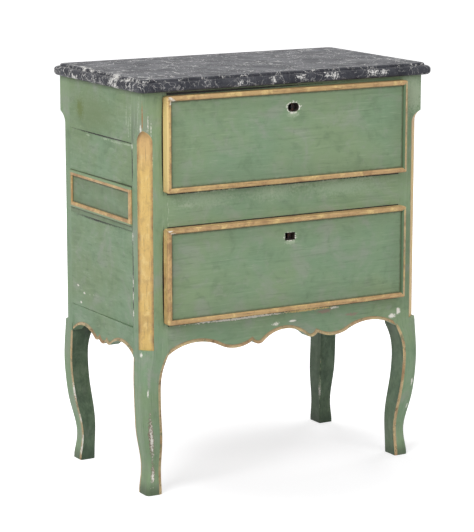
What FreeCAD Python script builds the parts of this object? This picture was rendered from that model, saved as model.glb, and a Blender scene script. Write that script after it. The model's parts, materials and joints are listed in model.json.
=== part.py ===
import FreeCAD, Part
import os
import re
import Sketcher
from FreeCAD import Placement, Rotation, Vector

# A two-drawer bedside chest on cabriole legs, in millimetres.
# X runs to the viewer's right, -Y to the front and Z up, from the floor under the slab's centre.

SIZES = [
    ("body_width", 606, "case over the posts"),
    ("body_depth", 340, "case over the posts"),
    ("slab_side_overhang", 13, "slab past the case"),
    ("slab_front_overhang", 18, "slab past the case"),
    ("slab_back_overhang", 4, "slab past the case"),
    ("slab_lower_thickness", 18, "layer with the bullnose"),
    ("slab_upper_thickness", 5, "layer above the step"),
    ("slab_step", 9, "upper layer inside the lower one"),
    ("slab_corner_radius", 14, "corner of the lower layer in plan"),
    ("slab_nose_radius", 7, "round of the bullnose"),
    ("slab_arris_radius", 3, "round of the upper layer"),
    ("post_width", 50, "post along X"),
    ("post_depth", 42, "post along Y"),
    ("chamfer_width", 21, "cut of the post's outer corner, on each face"),
    ("chamfer_top_drop", 92, "end of the full chamfer below the case top"),
    ("chamfer_stop_radius", 25, "curve that ends the chamfer at its top"),
    ("foot_rise", 20, "foot above the sole"),
    ("ankle_rise", 28, "ankle above the foot"),
    ("taper_rise", 32, "taper above the ankle"),
    ("shin_rise", 35, "shin above the taper"),
    ("calf_rise", 42, "calf above the shin"),
    ("knee_rise", 43, "knee above the calf"),
    ("bend_rise", 38, "bend above the knee"),
    ("bracket_rise", 24, "bracket above the bend"),
    ("collar_rise", 18, "collar above the bracket"),
    ("sole_out", -11, "outer faces past the case"),
    ("foot_out", -13, "outer faces past the case"),
    ("ankle_out", -16, "outer faces past the case"),
    ("taper_out", -12.5, "outer faces past the case"),
    ("shin_out", -5, "outer faces past the case"),
    ("calf_out", 0, "outer faces past the case"),
    ("knee_out", 2.5, "outer faces past the case"),
    ("bend_out", 2, "outer faces past the case"),
    ("bracket_out", 1, "outer faces past the case"),
    ("sole_reach", 41.5, "inner faces inside the case"),
    ("foot_reach", 42, "inner faces inside the case"),
    ("ankle_reach", 43, "inner faces inside the case"),
    ("taper_reach", 43.2, "inner faces inside the case"),
    ("shin_reach", 40.5, "inner faces inside the case"),
    ("calf_reach", 36, "inner faces inside the case"),
    ("knee_reach", 34, "inner faces inside the case"),
    ("bend_reach", 36, "inner faces inside the case"),
    ("bracket_inset", 5, "bracket's inner faces inside the post's"),
    ("leg_round_top", 11, "outer corner at the collar"),
    ("leg_round_foot", 4, "outer corner at the sole"),
    ("apron_rise", 55, "front apron's top above the collar"),
    ("lower_opening_height", 163, "lower drawer opening"),
    ("mid_rail_height", 82, "rail between the drawers"),
    ("upper_opening_height", 161, "upper drawer opening"),
    ("top_rail_height", 16, "rail under the slab"),
    ("rail_thickness", 22, "front middle rail and apron"),
    ("top_rail_depth", 60, "front top rail, laid flat"),
    ("apron_end_drop", 68, "front apron's edge at the legs, below its top"),
    ("apron_arch_place", 190, "crest of the side arch from the middle"),
    ("apron_arch_drop", 49, "crest of the side arch below the top"),
    ("apron_lobe_start", 136, "outer end of the lobe from the middle"),
    ("apron_lobe_start_drop", 64, "outer end of the lobe below the top"),
    ("apron_lobe_place", 106, "lowest place of the lobe from the middle"),
    ("apron_lobe_drop", 69.5, "lowest place of the lobe below the top"),
    ("apron_notch_place", 72, "notch from the middle"),
    ("apron_notch_drop", 60, "notch below the top"),
    ("apron_curl_place", 62, "lowest place of the curl from the middle"),
    ("apron_curl_drop", 67, "lowest place of the curl below the top"),
    ("apron_tip_place", 50, "end of the middle arch from the middle"),
    ("apron_tip_drop", 65.5, "end of the middle arch below the top"),
    ("apron_middle_drop", 45, "crest of the middle arch below the top"),
    ("side_rail_thickness", 20, "frieze, side middle rail and side apron"),
    ("frieze_height", 96, "frieze below the case top"),
    ("panel_recess", 4, "side panels behind the rails"),
    ("panel_thickness", 10, "side panels"),
    ("side_apron_rise", 37, "side apron's top above the collar"),
    ("side_end_drop", 54, "side apron's edge at the legs, below its top"),
    ("side_arch_place", 84, "crest of the arch from the middle"),
    ("side_arch_drop", 36, "crest of the arch below the top"),
    ("side_lobe_start", 33, "outer end of the lobe from the middle"),
    ("side_lobe_start_drop", 50.5, "outer end of the lobe below the top"),
    ("side_lobe_place", 24, "lowest place of the lobe from the middle"),
    ("side_lobe_drop", 52.5, "lowest place of the lobe below the top"),
    ("side_notch_place", 15, "notch from the middle"),
    ("side_notch_drop", 48, "notch below the top"),
    ("side_middle_drop", 55, "lowest place of the middle drop"),
    ("frame_width", 10, "moulding frame of the side rail"),
    ("frame_thickness", 4, "moulding frame of the side rail"),
    ("frame_lift", 10, "frame above the rail's lower edge"),
    ("frame_top_gap", 1, "frame below the rail's upper edge"),
    ("back_recess", 6, "back rails inside the posts' back"),
    ("back_rail_thickness", 18, "back rails"),
    ("back_top_height", 44, "back top rail"),
    ("back_bottom_lift", 20, "back bottom rail above the collar"),
    ("back_board_thickness", 10, "back boards"),
    ("runner_width", 26, "runners and kickers inside the openings' sides"),
    ("runner_height", 18, "drawer runners"),
    ("guide_height", 14, "guides above the runners"),
    ("kicker_height", 14, "strips above the drawers"),
    ("front_lip", 8, "drawer front past the opening on every side"),
    ("front_gap", 0.4, "drawer front before the case"),
    ("front_thickness", 13, "drawer front"),
    ("border_width", 9, "border mouldings"),
    ("border_thickness", 4.4, "border mouldings"),
    ("moulding_round", 2.6, "round of the mouldings' edges"),
    ("side_clearance", 1.5, "drawer box inside the opening, each side"),
    ("runner_clearance", 0.3, "drawer box above its runners"),
    ("top_clearance", 3, "drawer box below the opening's top"),
    ("box_end_clearance", 20.4, "drawer box before the back rails"),
    ("box_thickness", 12, "drawer sides and back"),
    ("bottom_thickness", 8, "drawer bottom"),
    ("bottom_lift", 6, "drawer bottom above the sides' lower edge"),
    ("box_back_drop", 10, "drawer back below the sides' upper edge"),
    ("lock_width", 60, "lock case"),
    ("lock_height", 46, "lock case"),
    ("lock_thickness", 14, "lock case"),
    ("lock_wall", 2, "lock case"),
    ("lock_clearance", 1.5, "lock case below the opening's top"),
    ("bolt_width", 26, "lock bolt"),
    ("bolt_height", 18, "lock bolt"),
    ("bolt_throw", 8, "travel of the bolt"),
    ("bolt_clearance", 0.3, "bolt inside the lock case"),
    ("strike_clearance", 1, "mortise round the bolt"),
    ("key_drop", 28, "keyhole below the opening's top"),
    ("key_slot_width", 5, "slot in the lock case"),
    ("key_slot_height", 12, "slot in the lock case"),
    ("upper_lock_offset", 7, "upper lock from the middle"),
    ("upper_keyhole_width", 24, "oval hole in the upper front"),
    ("upper_keyhole_height", 16, "oval hole in the upper front"),
    ("lower_lock_offset", 1, "lower lock from the middle"),
    ("lower_keyhole_width", 21, "rectangular hole in the lower front"),
    ("lower_keyhole_height", 14, "rectangular hole in the lower front"),
]

# Places worked out from the sizes, each as an expression in plain words.
PLACES = {
    "left_face": "-body_width / 2",
    "front_face": "(slab_front_overhang - slab_back_overhang - body_depth) / 2",
    "back_face": "front_face + body_depth",
    "middle_depth": "(front_face + back_face) / 2",
    "opening_half": "body_width / 2 - post_width",
    "post_back": "front_face + post_depth",
    "back_post_front": "back_face - post_depth",
    "side_half": "body_depth / 2 - post_depth",
    "foot_height": "foot_rise",
    "ankle_height": "foot_height + ankle_rise",
    "taper_height": "ankle_height + taper_rise",
    "shin_height": "taper_height + shin_rise",
    "calf_height": "shin_height + calf_rise",
    "knee_height": "calf_height + knee_rise",
    "bend_height": "knee_height + bend_rise",
    "bracket_height": "bend_height + bracket_rise",
    "collar_height": "bracket_height + collar_rise",
    "apron_top": "collar_height + apron_rise",
    "lower_opening_top": "apron_top + lower_opening_height",
    "mid_rail_top": "lower_opening_top + mid_rail_height",
    "upper_opening_top": "mid_rail_top + upper_opening_height",
    "case_top": "upper_opening_top + top_rail_height",
    "frieze_bottom": "case_top - frieze_height",
    "side_apron_top": "collar_height + side_apron_rise",
    "back_rail_front": "back_face - back_recess - back_rail_thickness",
    "front_back": "front_face - front_gap",
    "border_back": "front_back - front_thickness",
    "box_back": "back_rail_front - box_end_clearance",
    "bolt_front": "front_back + lock_wall + bolt_clearance",
    "bolt_back": "front_back + lock_thickness - lock_wall - bolt_clearance",
}

LEG_STATIONS = ("sole", "foot", "ankle", "taper", "shin", "calf", "knee", "bend", "bracket", "collar")
DIAGONAL = 0.5**0.5
OUTWARD_TURN = 225
NEAR = 1e-6

# A sketch's own axes and the ends of its curves, as its constraints count them.
LEVEL_AXIS_INDEX, UPRIGHT_AXIS_INDEX = -1, -2
START_INDEX, END_INDEX = 1, 2

DOC = FreeCAD.newDocument("bedside_chest")
SHEET = DOC.addObject("Spreadsheet::Sheet", "Sizes")
ALIASES = {alias for alias, _, _ in SIZES}


def fill_sheet():
    """Writes each driving size, its alias and its meaning in one row of the sheet."""
    for row, (alias, value, meaning) in enumerate(SIZES, start=1):
        SHEET.set(f"A{row}", alias)
        SHEET.set(f"B{row}", str(value))
        SHEET.setAlias(f"B{row}", alias)
        SHEET.set(f"C{row}", meaning)
    DOC.recompute()


def expand(text):
    """Turns an expression in plain words into one on the sheet's cells."""

    def swap(match):
        word = match.group(0)
        if word in PLACES:
            return f"({expand(PLACES[word])})"
        if word in ALIASES:
            return f"Sizes.{word}"
        return word

    return re.sub(r"[a-z][a-z_0-9]*", swap, text)


def number(text):
    """Present value of an expression, for the first drawing of a sketch."""
    return float(SHEET.evalExpression(expand(text)))


def add_board(label, x_span, y_span, z_span):
    """A square-edged board between two places along each axis."""
    board = DOC.addObject("Part::Box", label)
    for size, axis, (low, high) in zip(("Length", "Width", "Height"), "xyz", (x_span, y_span, z_span)):
        board.setExpression(size, expand(f"({high}) - ({low})"))
        board.setExpression(f"Placement.Base.{axis}", expand(low))
    return board


def join_boards(label, boards):
    """One piece of wood made up of several blocks."""
    joined = DOC.addObject("Part::MultiFuse", label)
    joined.Shapes = boards
    joined.Refine = True
    return joined


def cut_board(label, base, tool):
    """A board with one block cut out of it."""
    cut = DOC.addObject("Part::Cut", label)
    cut.Base = base
    cut.Tool = tool
    return cut


def mirror_piece(label, source, axis):
    """The same piece on the other side of the case's middle, along X or Y."""
    mirrored = DOC.addObject("Part::Mirroring", label)
    mirrored.Source = source
    mirrored.Normal = Vector(1, 0, 0) if axis == "x" else Vector(0, 1, 0)
    if axis == "y":
        mirrored.setExpression("Base.y", expand("middle_depth"))
    return mirrored


def add_sketch(body, name, role, offset):
    """A sketch on one of the body's own planes, moved along that plane's normal."""
    sketch = body.newObject("Sketcher::SketchObject", name)
    plane = next(item for item in body.Origin.OriginFeatures if item.Role == role)
    sketch.AttachmentSupport = (plane, [""])
    sketch.MapMode = "FlatFace"
    sketch.setExpression("AttachmentOffset.Base.z", expand(offset))
    return sketch


def pin_point(sketch, curve, end, place):
    """Ties a point of a sketch to a pair of expressions."""
    across, up = place
    ties = (("DistanceX", UPRIGHT_AXIS_INDEX, across), ("DistanceY", LEVEL_AXIS_INDEX, up))
    for kind, axis, text in ties:
        if text == "0":
            sketch.addConstraint(Sketcher.Constraint("PointOnObject", curve, end, axis))
        else:
            distance = Sketcher.Constraint(kind, LEVEL_AXIS_INDEX, START_INDEX, curve, end, number(text))
            index = sketch.addConstraint(distance)
            sketch.setExpression(f"Constraints[{index}]", expand(text))


def draw_outline(sketch, corners, crests=None):
    """A closed outline through its corners; an edge with a crest is an arc through that place."""
    crests = crests or {}
    spots = [Vector(number(x), number(y), 0) for x, y in corners]
    edges = []
    for index, start in enumerate(spots):
        finish = spots[(index + 1) % len(spots)]
        if index in crests:
            crest = Vector(*(number(text) for text in crests[index]), 0)
            curve = sketch.addGeometry(Part.Arc(start, crest, finish), False)
            first = sketch.getPoint(curve, START_INDEX)
            forward = first.distanceToPoint(start) < first.distanceToPoint(finish)
        else:
            curve = sketch.addGeometry(Part.LineSegment(start, finish), False)
            forward = True
        edges.append((curve, START_INDEX, END_INDEX) if forward else (curve, END_INDEX, START_INDEX))
    for index, (curve, _, end) in enumerate(edges):
        after, start, _ = edges[(index + 1) % len(edges)]
        sketch.addConstraint(Sketcher.Constraint("Coincident", curve, end, after, start))
    for (curve, start, _), corner in zip(edges, corners):
        pin_point(sketch, curve, start, corner)
    for index, place in crests.items():
        crest = Vector(*(number(text) for text in place), 0)
        mark = sketch.addGeometry(Part.Point(crest), True)
        pin_point(sketch, mark, START_INDEX, place)
        sketch.addConstraint(Sketcher.Constraint("PointOnObject", mark, START_INDEX, edges[index][0]))
    return sketch


def rectangle(across, upright):
    """Corners of a rectangle between two places each way."""
    left, right = across
    low, high = upright
    return [(left, low), (right, low), (right, high), (left, high)]


def add_pad(body, sketch, length, reverse=False):
    """Raises a sketch into a solid."""
    pad = body.newObject("PartDesign::Pad", f"{sketch.Name}_pad")
    pad.Profile = sketch
    pad.Reversed = reverse
    pad.setExpression("Length", expand(length))
    DOC.recompute()
    return pad


def add_cut_through(body, sketch):
    """Cuts a sketch right through the body and makes sure that it removed something."""
    before = body.Shape.Volume
    pocket = body.newObject("PartDesign::Pocket", f"{sketch.Name}_pocket")
    pocket.Profile = sketch
    pocket.Type = "ThroughAll"
    pocket.Midplane = True
    DOC.recompute()
    if body.Shape.Volume >= before:
        raise RuntimeError(f"{sketch.Name} cuts nothing")
    return pocket


def level_edges(feature, *heights):
    """Names of a feature's edges that lie level at one of some heights."""
    names = []
    for index, edge in enumerate(feature.Shape.Edges, start=1):
        levels = [vertex.Point.z for vertex in edge.Vertexes]
        if any(max(abs(level - height) for level in levels) < NEAR for height in heights):
            names.append(f"Edge{index}")
    return names


def round_edges(body, feature, names, radius):
    """Rounds some edges of a feature."""
    fillet = body.newObject("PartDesign::Fillet", f"{feature.Name}_round")
    fillet.Base = (feature, names)
    fillet.setExpression("Radius", expand(radius))
    DOC.recompute()
    return fillet


def rounded_plan(half_x, half_y, radius):
    """Corners and crests of a rectangle with round corners about the origin."""
    inset = f"({radius}) * {1 - DIAGONAL}"
    corners = [
        (f"-({half_x}) + ({radius})", f"-({half_y})"),
        (f"({half_x}) - ({radius})", f"-({half_y})"),
        (half_x, f"-({half_y}) + ({radius})"),
        (half_x, f"({half_y}) - ({radius})"),
        (f"({half_x}) - ({radius})", half_y),
        (f"-({half_x}) + ({radius})", half_y),
        (f"-({half_x})", f"({half_y}) - ({radius})"),
        (f"-({half_x})", f"-({half_y}) + ({radius})"),
    ]
    crests = {
        1: (f"({half_x}) - {inset}", f"-({half_y}) + {inset}"),
        3: (f"({half_x}) - {inset}", f"({half_y}) - {inset}"),
        5: (f"-({half_x}) + {inset}", f"({half_y}) - {inset}"),
        7: (f"-({half_x}) + {inset}", f"-({half_y}) + {inset}"),
    }
    return corners, crests


def make_slab():
    """Stone top: a bullnose layer with a smaller layer stepped in above it."""
    half_x = "body_width / 2 + slab_side_overhang"
    half_y = "(body_depth + slab_front_overhang + slab_back_overhang) / 2"
    step = "case_top + slab_lower_thickness"
    body = DOC.addObject("PartDesign::Body", "top_slab")
    plan = add_sketch(body, "slab_plan", "XY_Plane", "case_top")
    draw_outline(plan, *rounded_plan(half_x, half_y, "slab_corner_radius"))
    layer = add_pad(body, plan, "slab_lower_thickness")
    rims = level_edges(layer, number("case_top"), number(step))
    round_edges(body, layer, rims, "slab_nose_radius")
    upper = add_sketch(body, "slab_upper_plan", "XY_Plane", step)
    upper_radius = "slab_corner_radius - slab_step / 2"
    draw_outline(upper, *rounded_plan(f"{half_x} - slab_step", f"{half_y} - slab_step", upper_radius))
    layer = add_pad(body, upper, "slab_upper_thickness")
    rims = level_edges(layer, number(f"{step} + slab_upper_thickness"))
    round_edges(body, layer, rims, "slab_arris_radius")
    return [body]


def leg_section(body, index, station):
    """One level section of the leg: a square with its outer corner rounded."""
    height = "0" if station == "sole" else f"{station}_height"
    if station == "collar":
        out, reach_x, reach_y = "0", "post_width", "post_depth"
    elif station == "bracket":
        out, reach_x, reach_y = "bracket_out", "post_width - bracket_inset", "post_depth - bracket_inset"
    else:
        out, reach_x, reach_y = f"{station}_out", f"{station}_reach", f"{station}_reach"
    radius = f"(leg_round_foot + (leg_round_top - leg_round_foot) * {index / (len(LEG_STATIONS) - 1)})"
    outer_x = f"left_face - {out}"
    outer_y = f"front_face - {out}"
    inner_x = f"left_face + {reach_x}"
    inner_y = f"front_face + {reach_y}"
    corners = [
        (f"{outer_x} + {radius}", outer_y),
        (inner_x, outer_y),
        (inner_x, inner_y),
        (outer_x, inner_y),
        (outer_x, f"{outer_y} + {radius}"),
    ]
    inset = f"{radius} * {1 - DIAGONAL}"
    sketch = add_sketch(body, f"leg_{station}", "XY_Plane", height)
    return draw_outline(sketch, corners, {4: (f"{outer_x} + {inset}", f"{outer_y} + {inset}")})


def make_posts():
    """Corner posts, each one piece with its cabriole leg, with a stopped chamfer on the outer corner."""
    body = DOC.addObject("PartDesign::Body", "front_left_post")
    sections = [leg_section(body, index, station) for index, station in enumerate(LEG_STATIONS)]
    leg = body.newObject("PartDesign::AdditiveLoft", "leg")
    leg.Profile = sections[0]
    leg.Sections = sections[1:]
    leg.Ruled = False
    block = add_sketch(body, "post_block", "XY_Plane", "collar_height")
    draw_outline(block, rectangle(("left_face", "left_face + post_width"), ("front_face", "post_back")))
    add_pad(body, block, "case_top - collar_height")
    cut = add_sketch(body, "post_chamfer", "XZ_Plane", "-front_face")
    cut.AttachmentOffset = Placement(Vector(), Rotation(Vector(0, 1, 0), OUTWARD_TURN))
    cut.setExpression("AttachmentOffset.Base.x", expand("left_face"))
    floor = f"-chamfer_width * {DIAGONAL}"
    clear = f"{floor} + chamfer_stop_radius"
    full_top = "case_top - chamfer_top_drop"
    crest = (
        f"{floor} + chamfer_stop_radius * {1 - DIAGONAL}",
        f"{full_top} + chamfer_stop_radius * {DIAGONAL}",
    )
    draw_outline(
        cut,
        [
            (floor, "collar_height"),
            (clear, "collar_height"),
            (clear, f"{full_top} + chamfer_stop_radius"),
            (floor, full_top),
        ],
        {2: crest},
    )
    add_cut_through(body, cut)
    front_right = mirror_piece("front_right_post", body, "x")
    back_left = mirror_piece("back_left_post", body, "y")
    back_right = mirror_piece("back_right_post", back_left, "x")
    return [body, front_right, back_left, back_right]


def make_strike(label, lock_offset, opening_top):
    """Room for a lock bolt in the rail above it."""
    half = "(bolt_width / 2 + strike_clearance)"
    return add_board(
        label,
        (f"{lock_offset} - {half}", f"{lock_offset} + {half}"),
        ("bolt_front - strike_clearance", "bolt_back + strike_clearance"),
        (opening_top, f"{opening_top} + bolt_throw + strike_clearance"),
    )


def make_front_rails():
    """Flat top rail and upright middle rail, each with a mortise for the lock below it."""
    across = ("-opening_half", "opening_half")
    top = add_board(
        "front_top_rail_blank",
        across,
        ("front_face", "front_face + top_rail_depth"),
        ("upper_opening_top", "case_top"),
    )
    middle = add_board(
        "front_middle_rail_blank",
        across,
        ("front_face", "front_face + rail_thickness"),
        ("lower_opening_top", "mid_rail_top"),
    )
    upper_strike = make_strike("upper_strike", "upper_lock_offset", "upper_opening_top")
    lower_strike = make_strike("lower_strike", "lower_lock_offset", "lower_opening_top")
    return [
        cut_board("front_top_rail", top, upper_strike),
        cut_board("front_middle_rail", middle, lower_strike),
    ]


def scalloped_outline(top, middle, stops):
    """Corners and crests of an apron with a straight top and a lower edge of arcs.

    stops runs along the lower edge from one end to the crest in the middle, as (kind, distance, drop).
    """
    *half, (_, _, middle_drop) = stops
    edge = [(kind, f"{middle} - {distance}", drop) for kind, distance, drop in half]
    edge.append(("crest", middle, middle_drop))
    edge += [(kind, f"{middle} + {distance}", drop) for kind, distance, drop in reversed(half)]
    corners = [(edge[0][1], top)]
    crests = {}
    for kind, place, drop in edge:
        spot = (place, f"{top} - {drop}")
        if kind == "crest":
            crests[len(corners) - 1] = spot
        else:
            corners.append(spot)
    corners.append((edge[-1][1], top))
    return corners, crests


def make_front_apron():
    """Board under the lower drawer with a scalloped lower edge."""
    body = DOC.addObject("PartDesign::Body", "front_apron")
    sketch = add_sketch(body, "front_apron_outline", "XZ_Plane", "-front_face")
    stops = [
        ("corner", "opening_half", "apron_end_drop"),
        ("crest", "apron_arch_place", "apron_arch_drop"),
        ("corner", "apron_lobe_start", "apron_lobe_start_drop"),
        ("crest", "apron_lobe_place", "apron_lobe_drop"),
        ("corner", "apron_notch_place", "apron_notch_drop"),
        ("crest", "apron_curl_place", "apron_curl_drop"),
        ("corner", "apron_tip_place", "apron_tip_drop"),
        ("crest", "0", "apron_middle_drop"),
    ]
    draw_outline(sketch, *scalloped_outline("apron_top", "0", stops))
    add_pad(body, sketch, "rail_thickness", reverse=True)
    return [body]


def make_side_apron():
    """Scalloped board at the bottom of the left side."""
    body = DOC.addObject("PartDesign::Body", "left_apron")
    sketch = add_sketch(body, "left_apron_outline", "YZ_Plane", "left_face")
    stops = [
        ("corner", "side_half", "side_end_drop"),
        ("crest", "side_arch_place", "side_arch_drop"),
        ("corner", "side_lobe_start", "side_lobe_start_drop"),
        ("crest", "side_lobe_place", "side_lobe_drop"),
        ("corner", "side_notch_place", "side_notch_drop"),
        ("crest", "0", "side_middle_drop"),
    ]
    draw_outline(sketch, *scalloped_outline("side_apron_top", "middle_depth", stops))
    add_pad(body, sketch, "side_rail_thickness")
    return body


def mitred_strips(prefix, role, offset, across, upright, width, thickness, reverse=False):
    """Four mouldings with mitred ends round a rectangle, each rounded along its two outer edges."""
    left, right = across
    low, high = upright
    outer = rectangle(across, upright)
    inner = rectangle(
        (f"{left} + {width}", f"{right} - {width}"),
        (f"{low} + {width}", f"{high} - {width}"),
    )
    strips = []
    for index, side in enumerate(("bottom", "right", "top", "left")):
        after = (index + 1) % len(outer)
        body = DOC.addObject("PartDesign::Body", f"{prefix}_{side}")
        sketch = add_sketch(body, f"{prefix}_{side}_outline", role, offset)
        draw_outline(sketch, [outer[index], outer[after], inner[after], inner[index]])
        pad = add_pad(body, sketch, thickness, reverse)
        round_edges(body, pad, long_face_edges(pad, sketch), "moulding_round")
        strips.append(body)
    return strips


def long_face_edges(pad, sketch):
    """Names of the two long edges of a moulding's outer face, which lies away from its sketch."""
    normal = sketch.Placement.Rotation.multVec(Vector(0, 0, 1))
    start = sketch.Placement.Base.dot(normal)
    raised = []
    for index, edge in enumerate(pad.Shape.Edges, start=1):
        away = min(abs(vertex.Point.dot(normal) - start) for vertex in edge.Vertexes)
        if away > NEAR:
            raised.append((edge.Length, f"Edge{index}"))
    return [name for _, name in sorted(raised)[-2:]]


def make_sides():
    """Left side between the posts, and its mirror image on the right."""
    along = ("post_back", "back_post_front")
    rail = ("left_face", "left_face + side_rail_thickness")
    panel = ("left_face + panel_recess", "left_face + panel_recess + panel_thickness")
    frame = DOC.addObject("Part::Compound", "left_moulding_frame")
    frame.Links = mitred_strips(
        "left_moulding",
        "YZ_Plane",
        "left_face",
        along,
        ("lower_opening_top + frame_lift", "mid_rail_top - frame_top_gap"),
        "frame_width",
        "frame_thickness",
        reverse=True,
    )
    pieces = {
        "frieze": add_board("left_frieze", rail, along, ("frieze_bottom", "case_top")),
        "upper_panel": add_board("left_upper_panel", panel, along, ("mid_rail_top", "frieze_bottom")),
        "middle_rail": add_board("left_middle_rail", rail, along, ("lower_opening_top", "mid_rail_top")),
        "moulding_frame": frame,
        "lower_panel": add_board("left_lower_panel", panel, along, ("side_apron_top", "lower_opening_top")),
        "apron": make_side_apron(),
    }
    mirrored = [mirror_piece(f"right_{name}", piece, "x") for name, piece in pieces.items()]
    return list(pieces.values()) + mirrored


def make_back():
    """Three rails and two thinner boards between the back posts."""
    across = ("-opening_half", "opening_half")
    rail = ("back_rail_front", "back_rail_front + back_rail_thickness")
    board = ("back_rail_front", "back_rail_front + back_board_thickness")
    return [
        add_board("back_top_rail", across, rail, ("case_top - back_top_height", "case_top")),
        add_board("back_upper_board", across, board, ("mid_rail_top", "case_top - back_top_height")),
        add_board("back_middle_rail", across, rail, ("lower_opening_top", "mid_rail_top")),
        add_board("back_lower_board", across, board, ("apron_top", "lower_opening_top")),
        add_board("back_bottom_rail", across, rail, ("collar_height + back_bottom_lift", "apron_top")),
    ]


def make_runners():
    """Runners with guides under the drawers, and kickers above them that stop the drawers tipping."""
    inside = ("-opening_half", "-opening_half + runner_width")
    beside = ("left_face + side_rail_thickness", "-opening_half")
    between_posts = ("post_back", "back_post_front")
    behind_rail = ("front_face + rail_thickness", "back_rail_front")
    behind_top_rail = ("front_face + top_rail_depth", "back_rail_front")
    pieces = []
    for level, floor, ceiling, kicker_along in (
        ("lower", "apron_top", "lower_opening_top", behind_rail),
        ("upper", "mid_rail_top", "upper_opening_top", behind_top_rail),
    ):
        strip_span = (f"{floor} - runner_height", floor)
        guide_span = (f"{floor} - runner_height", f"{floor} + guide_height")
        kicker_span = (ceiling, f"{ceiling} + kicker_height")
        runner = join_boards(
            f"{level}_left_runner",
            [
                add_board(f"{level}_left_runner_strip", inside, behind_rail, strip_span),
                add_board(f"{level}_left_guide", beside, between_posts, guide_span),
            ],
        )
        kicker = add_board(f"{level}_left_kicker", inside, kicker_along, kicker_span)
        pieces += [
            runner,
            kicker,
            mirror_piece(f"{level}_right_runner", runner, "x"),
            mirror_piece(f"{level}_right_kicker", kicker, "x"),
        ]
    return pieces


def keyhole_outline(level, key_height):
    """Corners and crests of a keyhole: oval in the upper front, rectangular in the lower one."""
    offset = f"{level}_lock_offset"
    half_width = f"{level}_keyhole_width / 2"
    half_height = f"{level}_keyhole_height / 2"
    straight = f"({half_width} - {half_height})" if level == "upper" else half_width
    corners = rectangle(
        (f"{offset} - {straight}", f"{offset} + {straight}"),
        (f"{key_height} - {half_height}", f"{key_height} + {half_height}"),
    )
    if level == "lower":
        return corners, {}
    ends = {
        1: (f"{offset} + {half_width}", key_height),
        3: (f"{offset} - {half_width}", key_height),
    }
    return corners, ends


def make_drawer_front(level, floor, ceiling):
    """Front that overlaps its opening on every side, with a keyhole."""
    body = DOC.addObject("PartDesign::Body", f"{level}_drawer_front")
    face = add_sketch(body, f"{level}_front_outline", "XZ_Plane", "-front_back")
    half = "(opening_half + front_lip)"
    low = f"{floor} - front_lip"
    high = f"{ceiling} + front_lip"
    draw_outline(face, rectangle((f"-{half}", half), (low, high)))
    add_pad(body, face, "front_thickness")
    hole = add_sketch(body, f"{level}_keyhole", "XZ_Plane", "-front_back")
    draw_outline(hole, *keyhole_outline(level, f"({ceiling} - key_drop)"))
    add_cut_through(body, hole)
    borders = mitred_strips(
        f"{level}_drawer_border",
        "XZ_Plane",
        "-border_back",
        (f"-{half}", half),
        (low, high),
        "border_width",
        "border_thickness",
    )
    return [body] + borders


def make_drawer_box(level, floor, ceiling):
    """Sides, back and bottom behind a drawer front."""
    outer = "(opening_half - side_clearance)"
    inner = f"({outer} - box_thickness)"
    low = f"({floor} + runner_clearance)"
    high = f"({ceiling} - top_clearance)"
    deep = ("front_back", "box_back")
    board_low = f"{low} + bottom_lift"
    board_high = f"{board_low} + bottom_thickness"
    left = add_board(f"{level}_drawer_left_side", (f"-{outer}", f"-{inner}"), deep, (low, high))
    return [
        left,
        mirror_piece(f"{level}_drawer_right_side", left, "x"),
        add_board(f"{level}_drawer_bottom", (f"-{inner}", inner), deep, (board_low, board_high)),
        add_board(
            f"{level}_drawer_back",
            (f"-{inner}", inner),
            ("box_back - box_thickness", "box_back"),
            (board_high, f"{high} - box_back_drop"),
        ),
    ]


def make_lock(level, ceiling):
    """Iron lock case on the back of a drawer front, and its bolt, drawn down."""
    offset = f"{level}_lock_offset"
    high = f"({ceiling} - lock_clearance)"
    low = f"({high} - lock_height)"
    room = "(bolt_width / 2 + bolt_clearance)"
    blank = add_board(
        f"{level}_lock_blank",
        (f"{offset} - lock_width / 2", f"{offset} + lock_width / 2"),
        ("front_back", "front_back + lock_thickness"),
        (low, high),
    )
    cavity = add_board(
        f"{level}_lock_cavity",
        (f"{offset} - {room}", f"{offset} + {room}"),
        ("front_back + lock_wall", "front_back + lock_thickness - lock_wall"),
        (f"{low} + lock_wall", high),
    )
    key_slot = add_board(
        f"{level}_key_slot",
        (f"{offset} - key_slot_width / 2", f"{offset} + key_slot_width / 2"),
        ("front_back", "front_back + lock_wall"),
        (f"{ceiling} - key_drop - key_slot_height / 2", f"{ceiling} - key_drop + key_slot_height / 2"),
    )
    bolt = add_board(
        f"{level}_lock_bolt",
        (f"{offset} - bolt_width / 2", f"{offset} + bolt_width / 2"),
        ("bolt_front", "bolt_back"),
        (f"{high} - bolt_height", high),
    )
    hollow = join_boards(f"{level}_lock_hollow", [cavity, key_slot])
    return [cut_board(f"{level}_lock_case", blank, hollow), bolt]


def make_drawers():
    """Both drawers, from the same joinery."""
    pieces = []
    for level, floor, ceiling in (
        ("upper", "mid_rail_top", "upper_opening_top"),
        ("lower", "apron_top", "lower_opening_top"),
    ):
        pieces += make_drawer_front(level, floor, ceiling)
        pieces += make_drawer_box(level, floor, ceiling)
        pieces += make_lock(level, ceiling)
    return pieces


def check_pieces(pieces):
    """Stops where any object of the document failed or a piece has no sound shape."""
    for item in DOC.Objects:
        if {"Invalid", "Error"} & set(item.State):
            raise RuntimeError(f"{item.Label} failed: {item.State}")
    for piece in pieces:
        if piece.Shape.isNull() or not piece.Shape.isValid() or not piece.Shape.Solids:
            raise RuntimeError(f"{piece.Label} has no sound solid")


def write_pieces(pieces):
    """Writes each piece to a file of its own name."""
    os.makedirs("parts", exist_ok=True)
    for piece in pieces:
        piece.Shape.exportStep(f"parts/{piece.Label}.step")


fill_sheet()
PIECES = make_slab() + make_posts() + make_front_rails() + make_front_apron()
PIECES += make_sides() + make_back() + make_runners() + make_drawers()
DOC.recompute()
check_pieces(PIECES)
write_pieces(PIECES)
print(f"{len(PIECES)} pieces written")
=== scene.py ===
import json
import math

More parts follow.
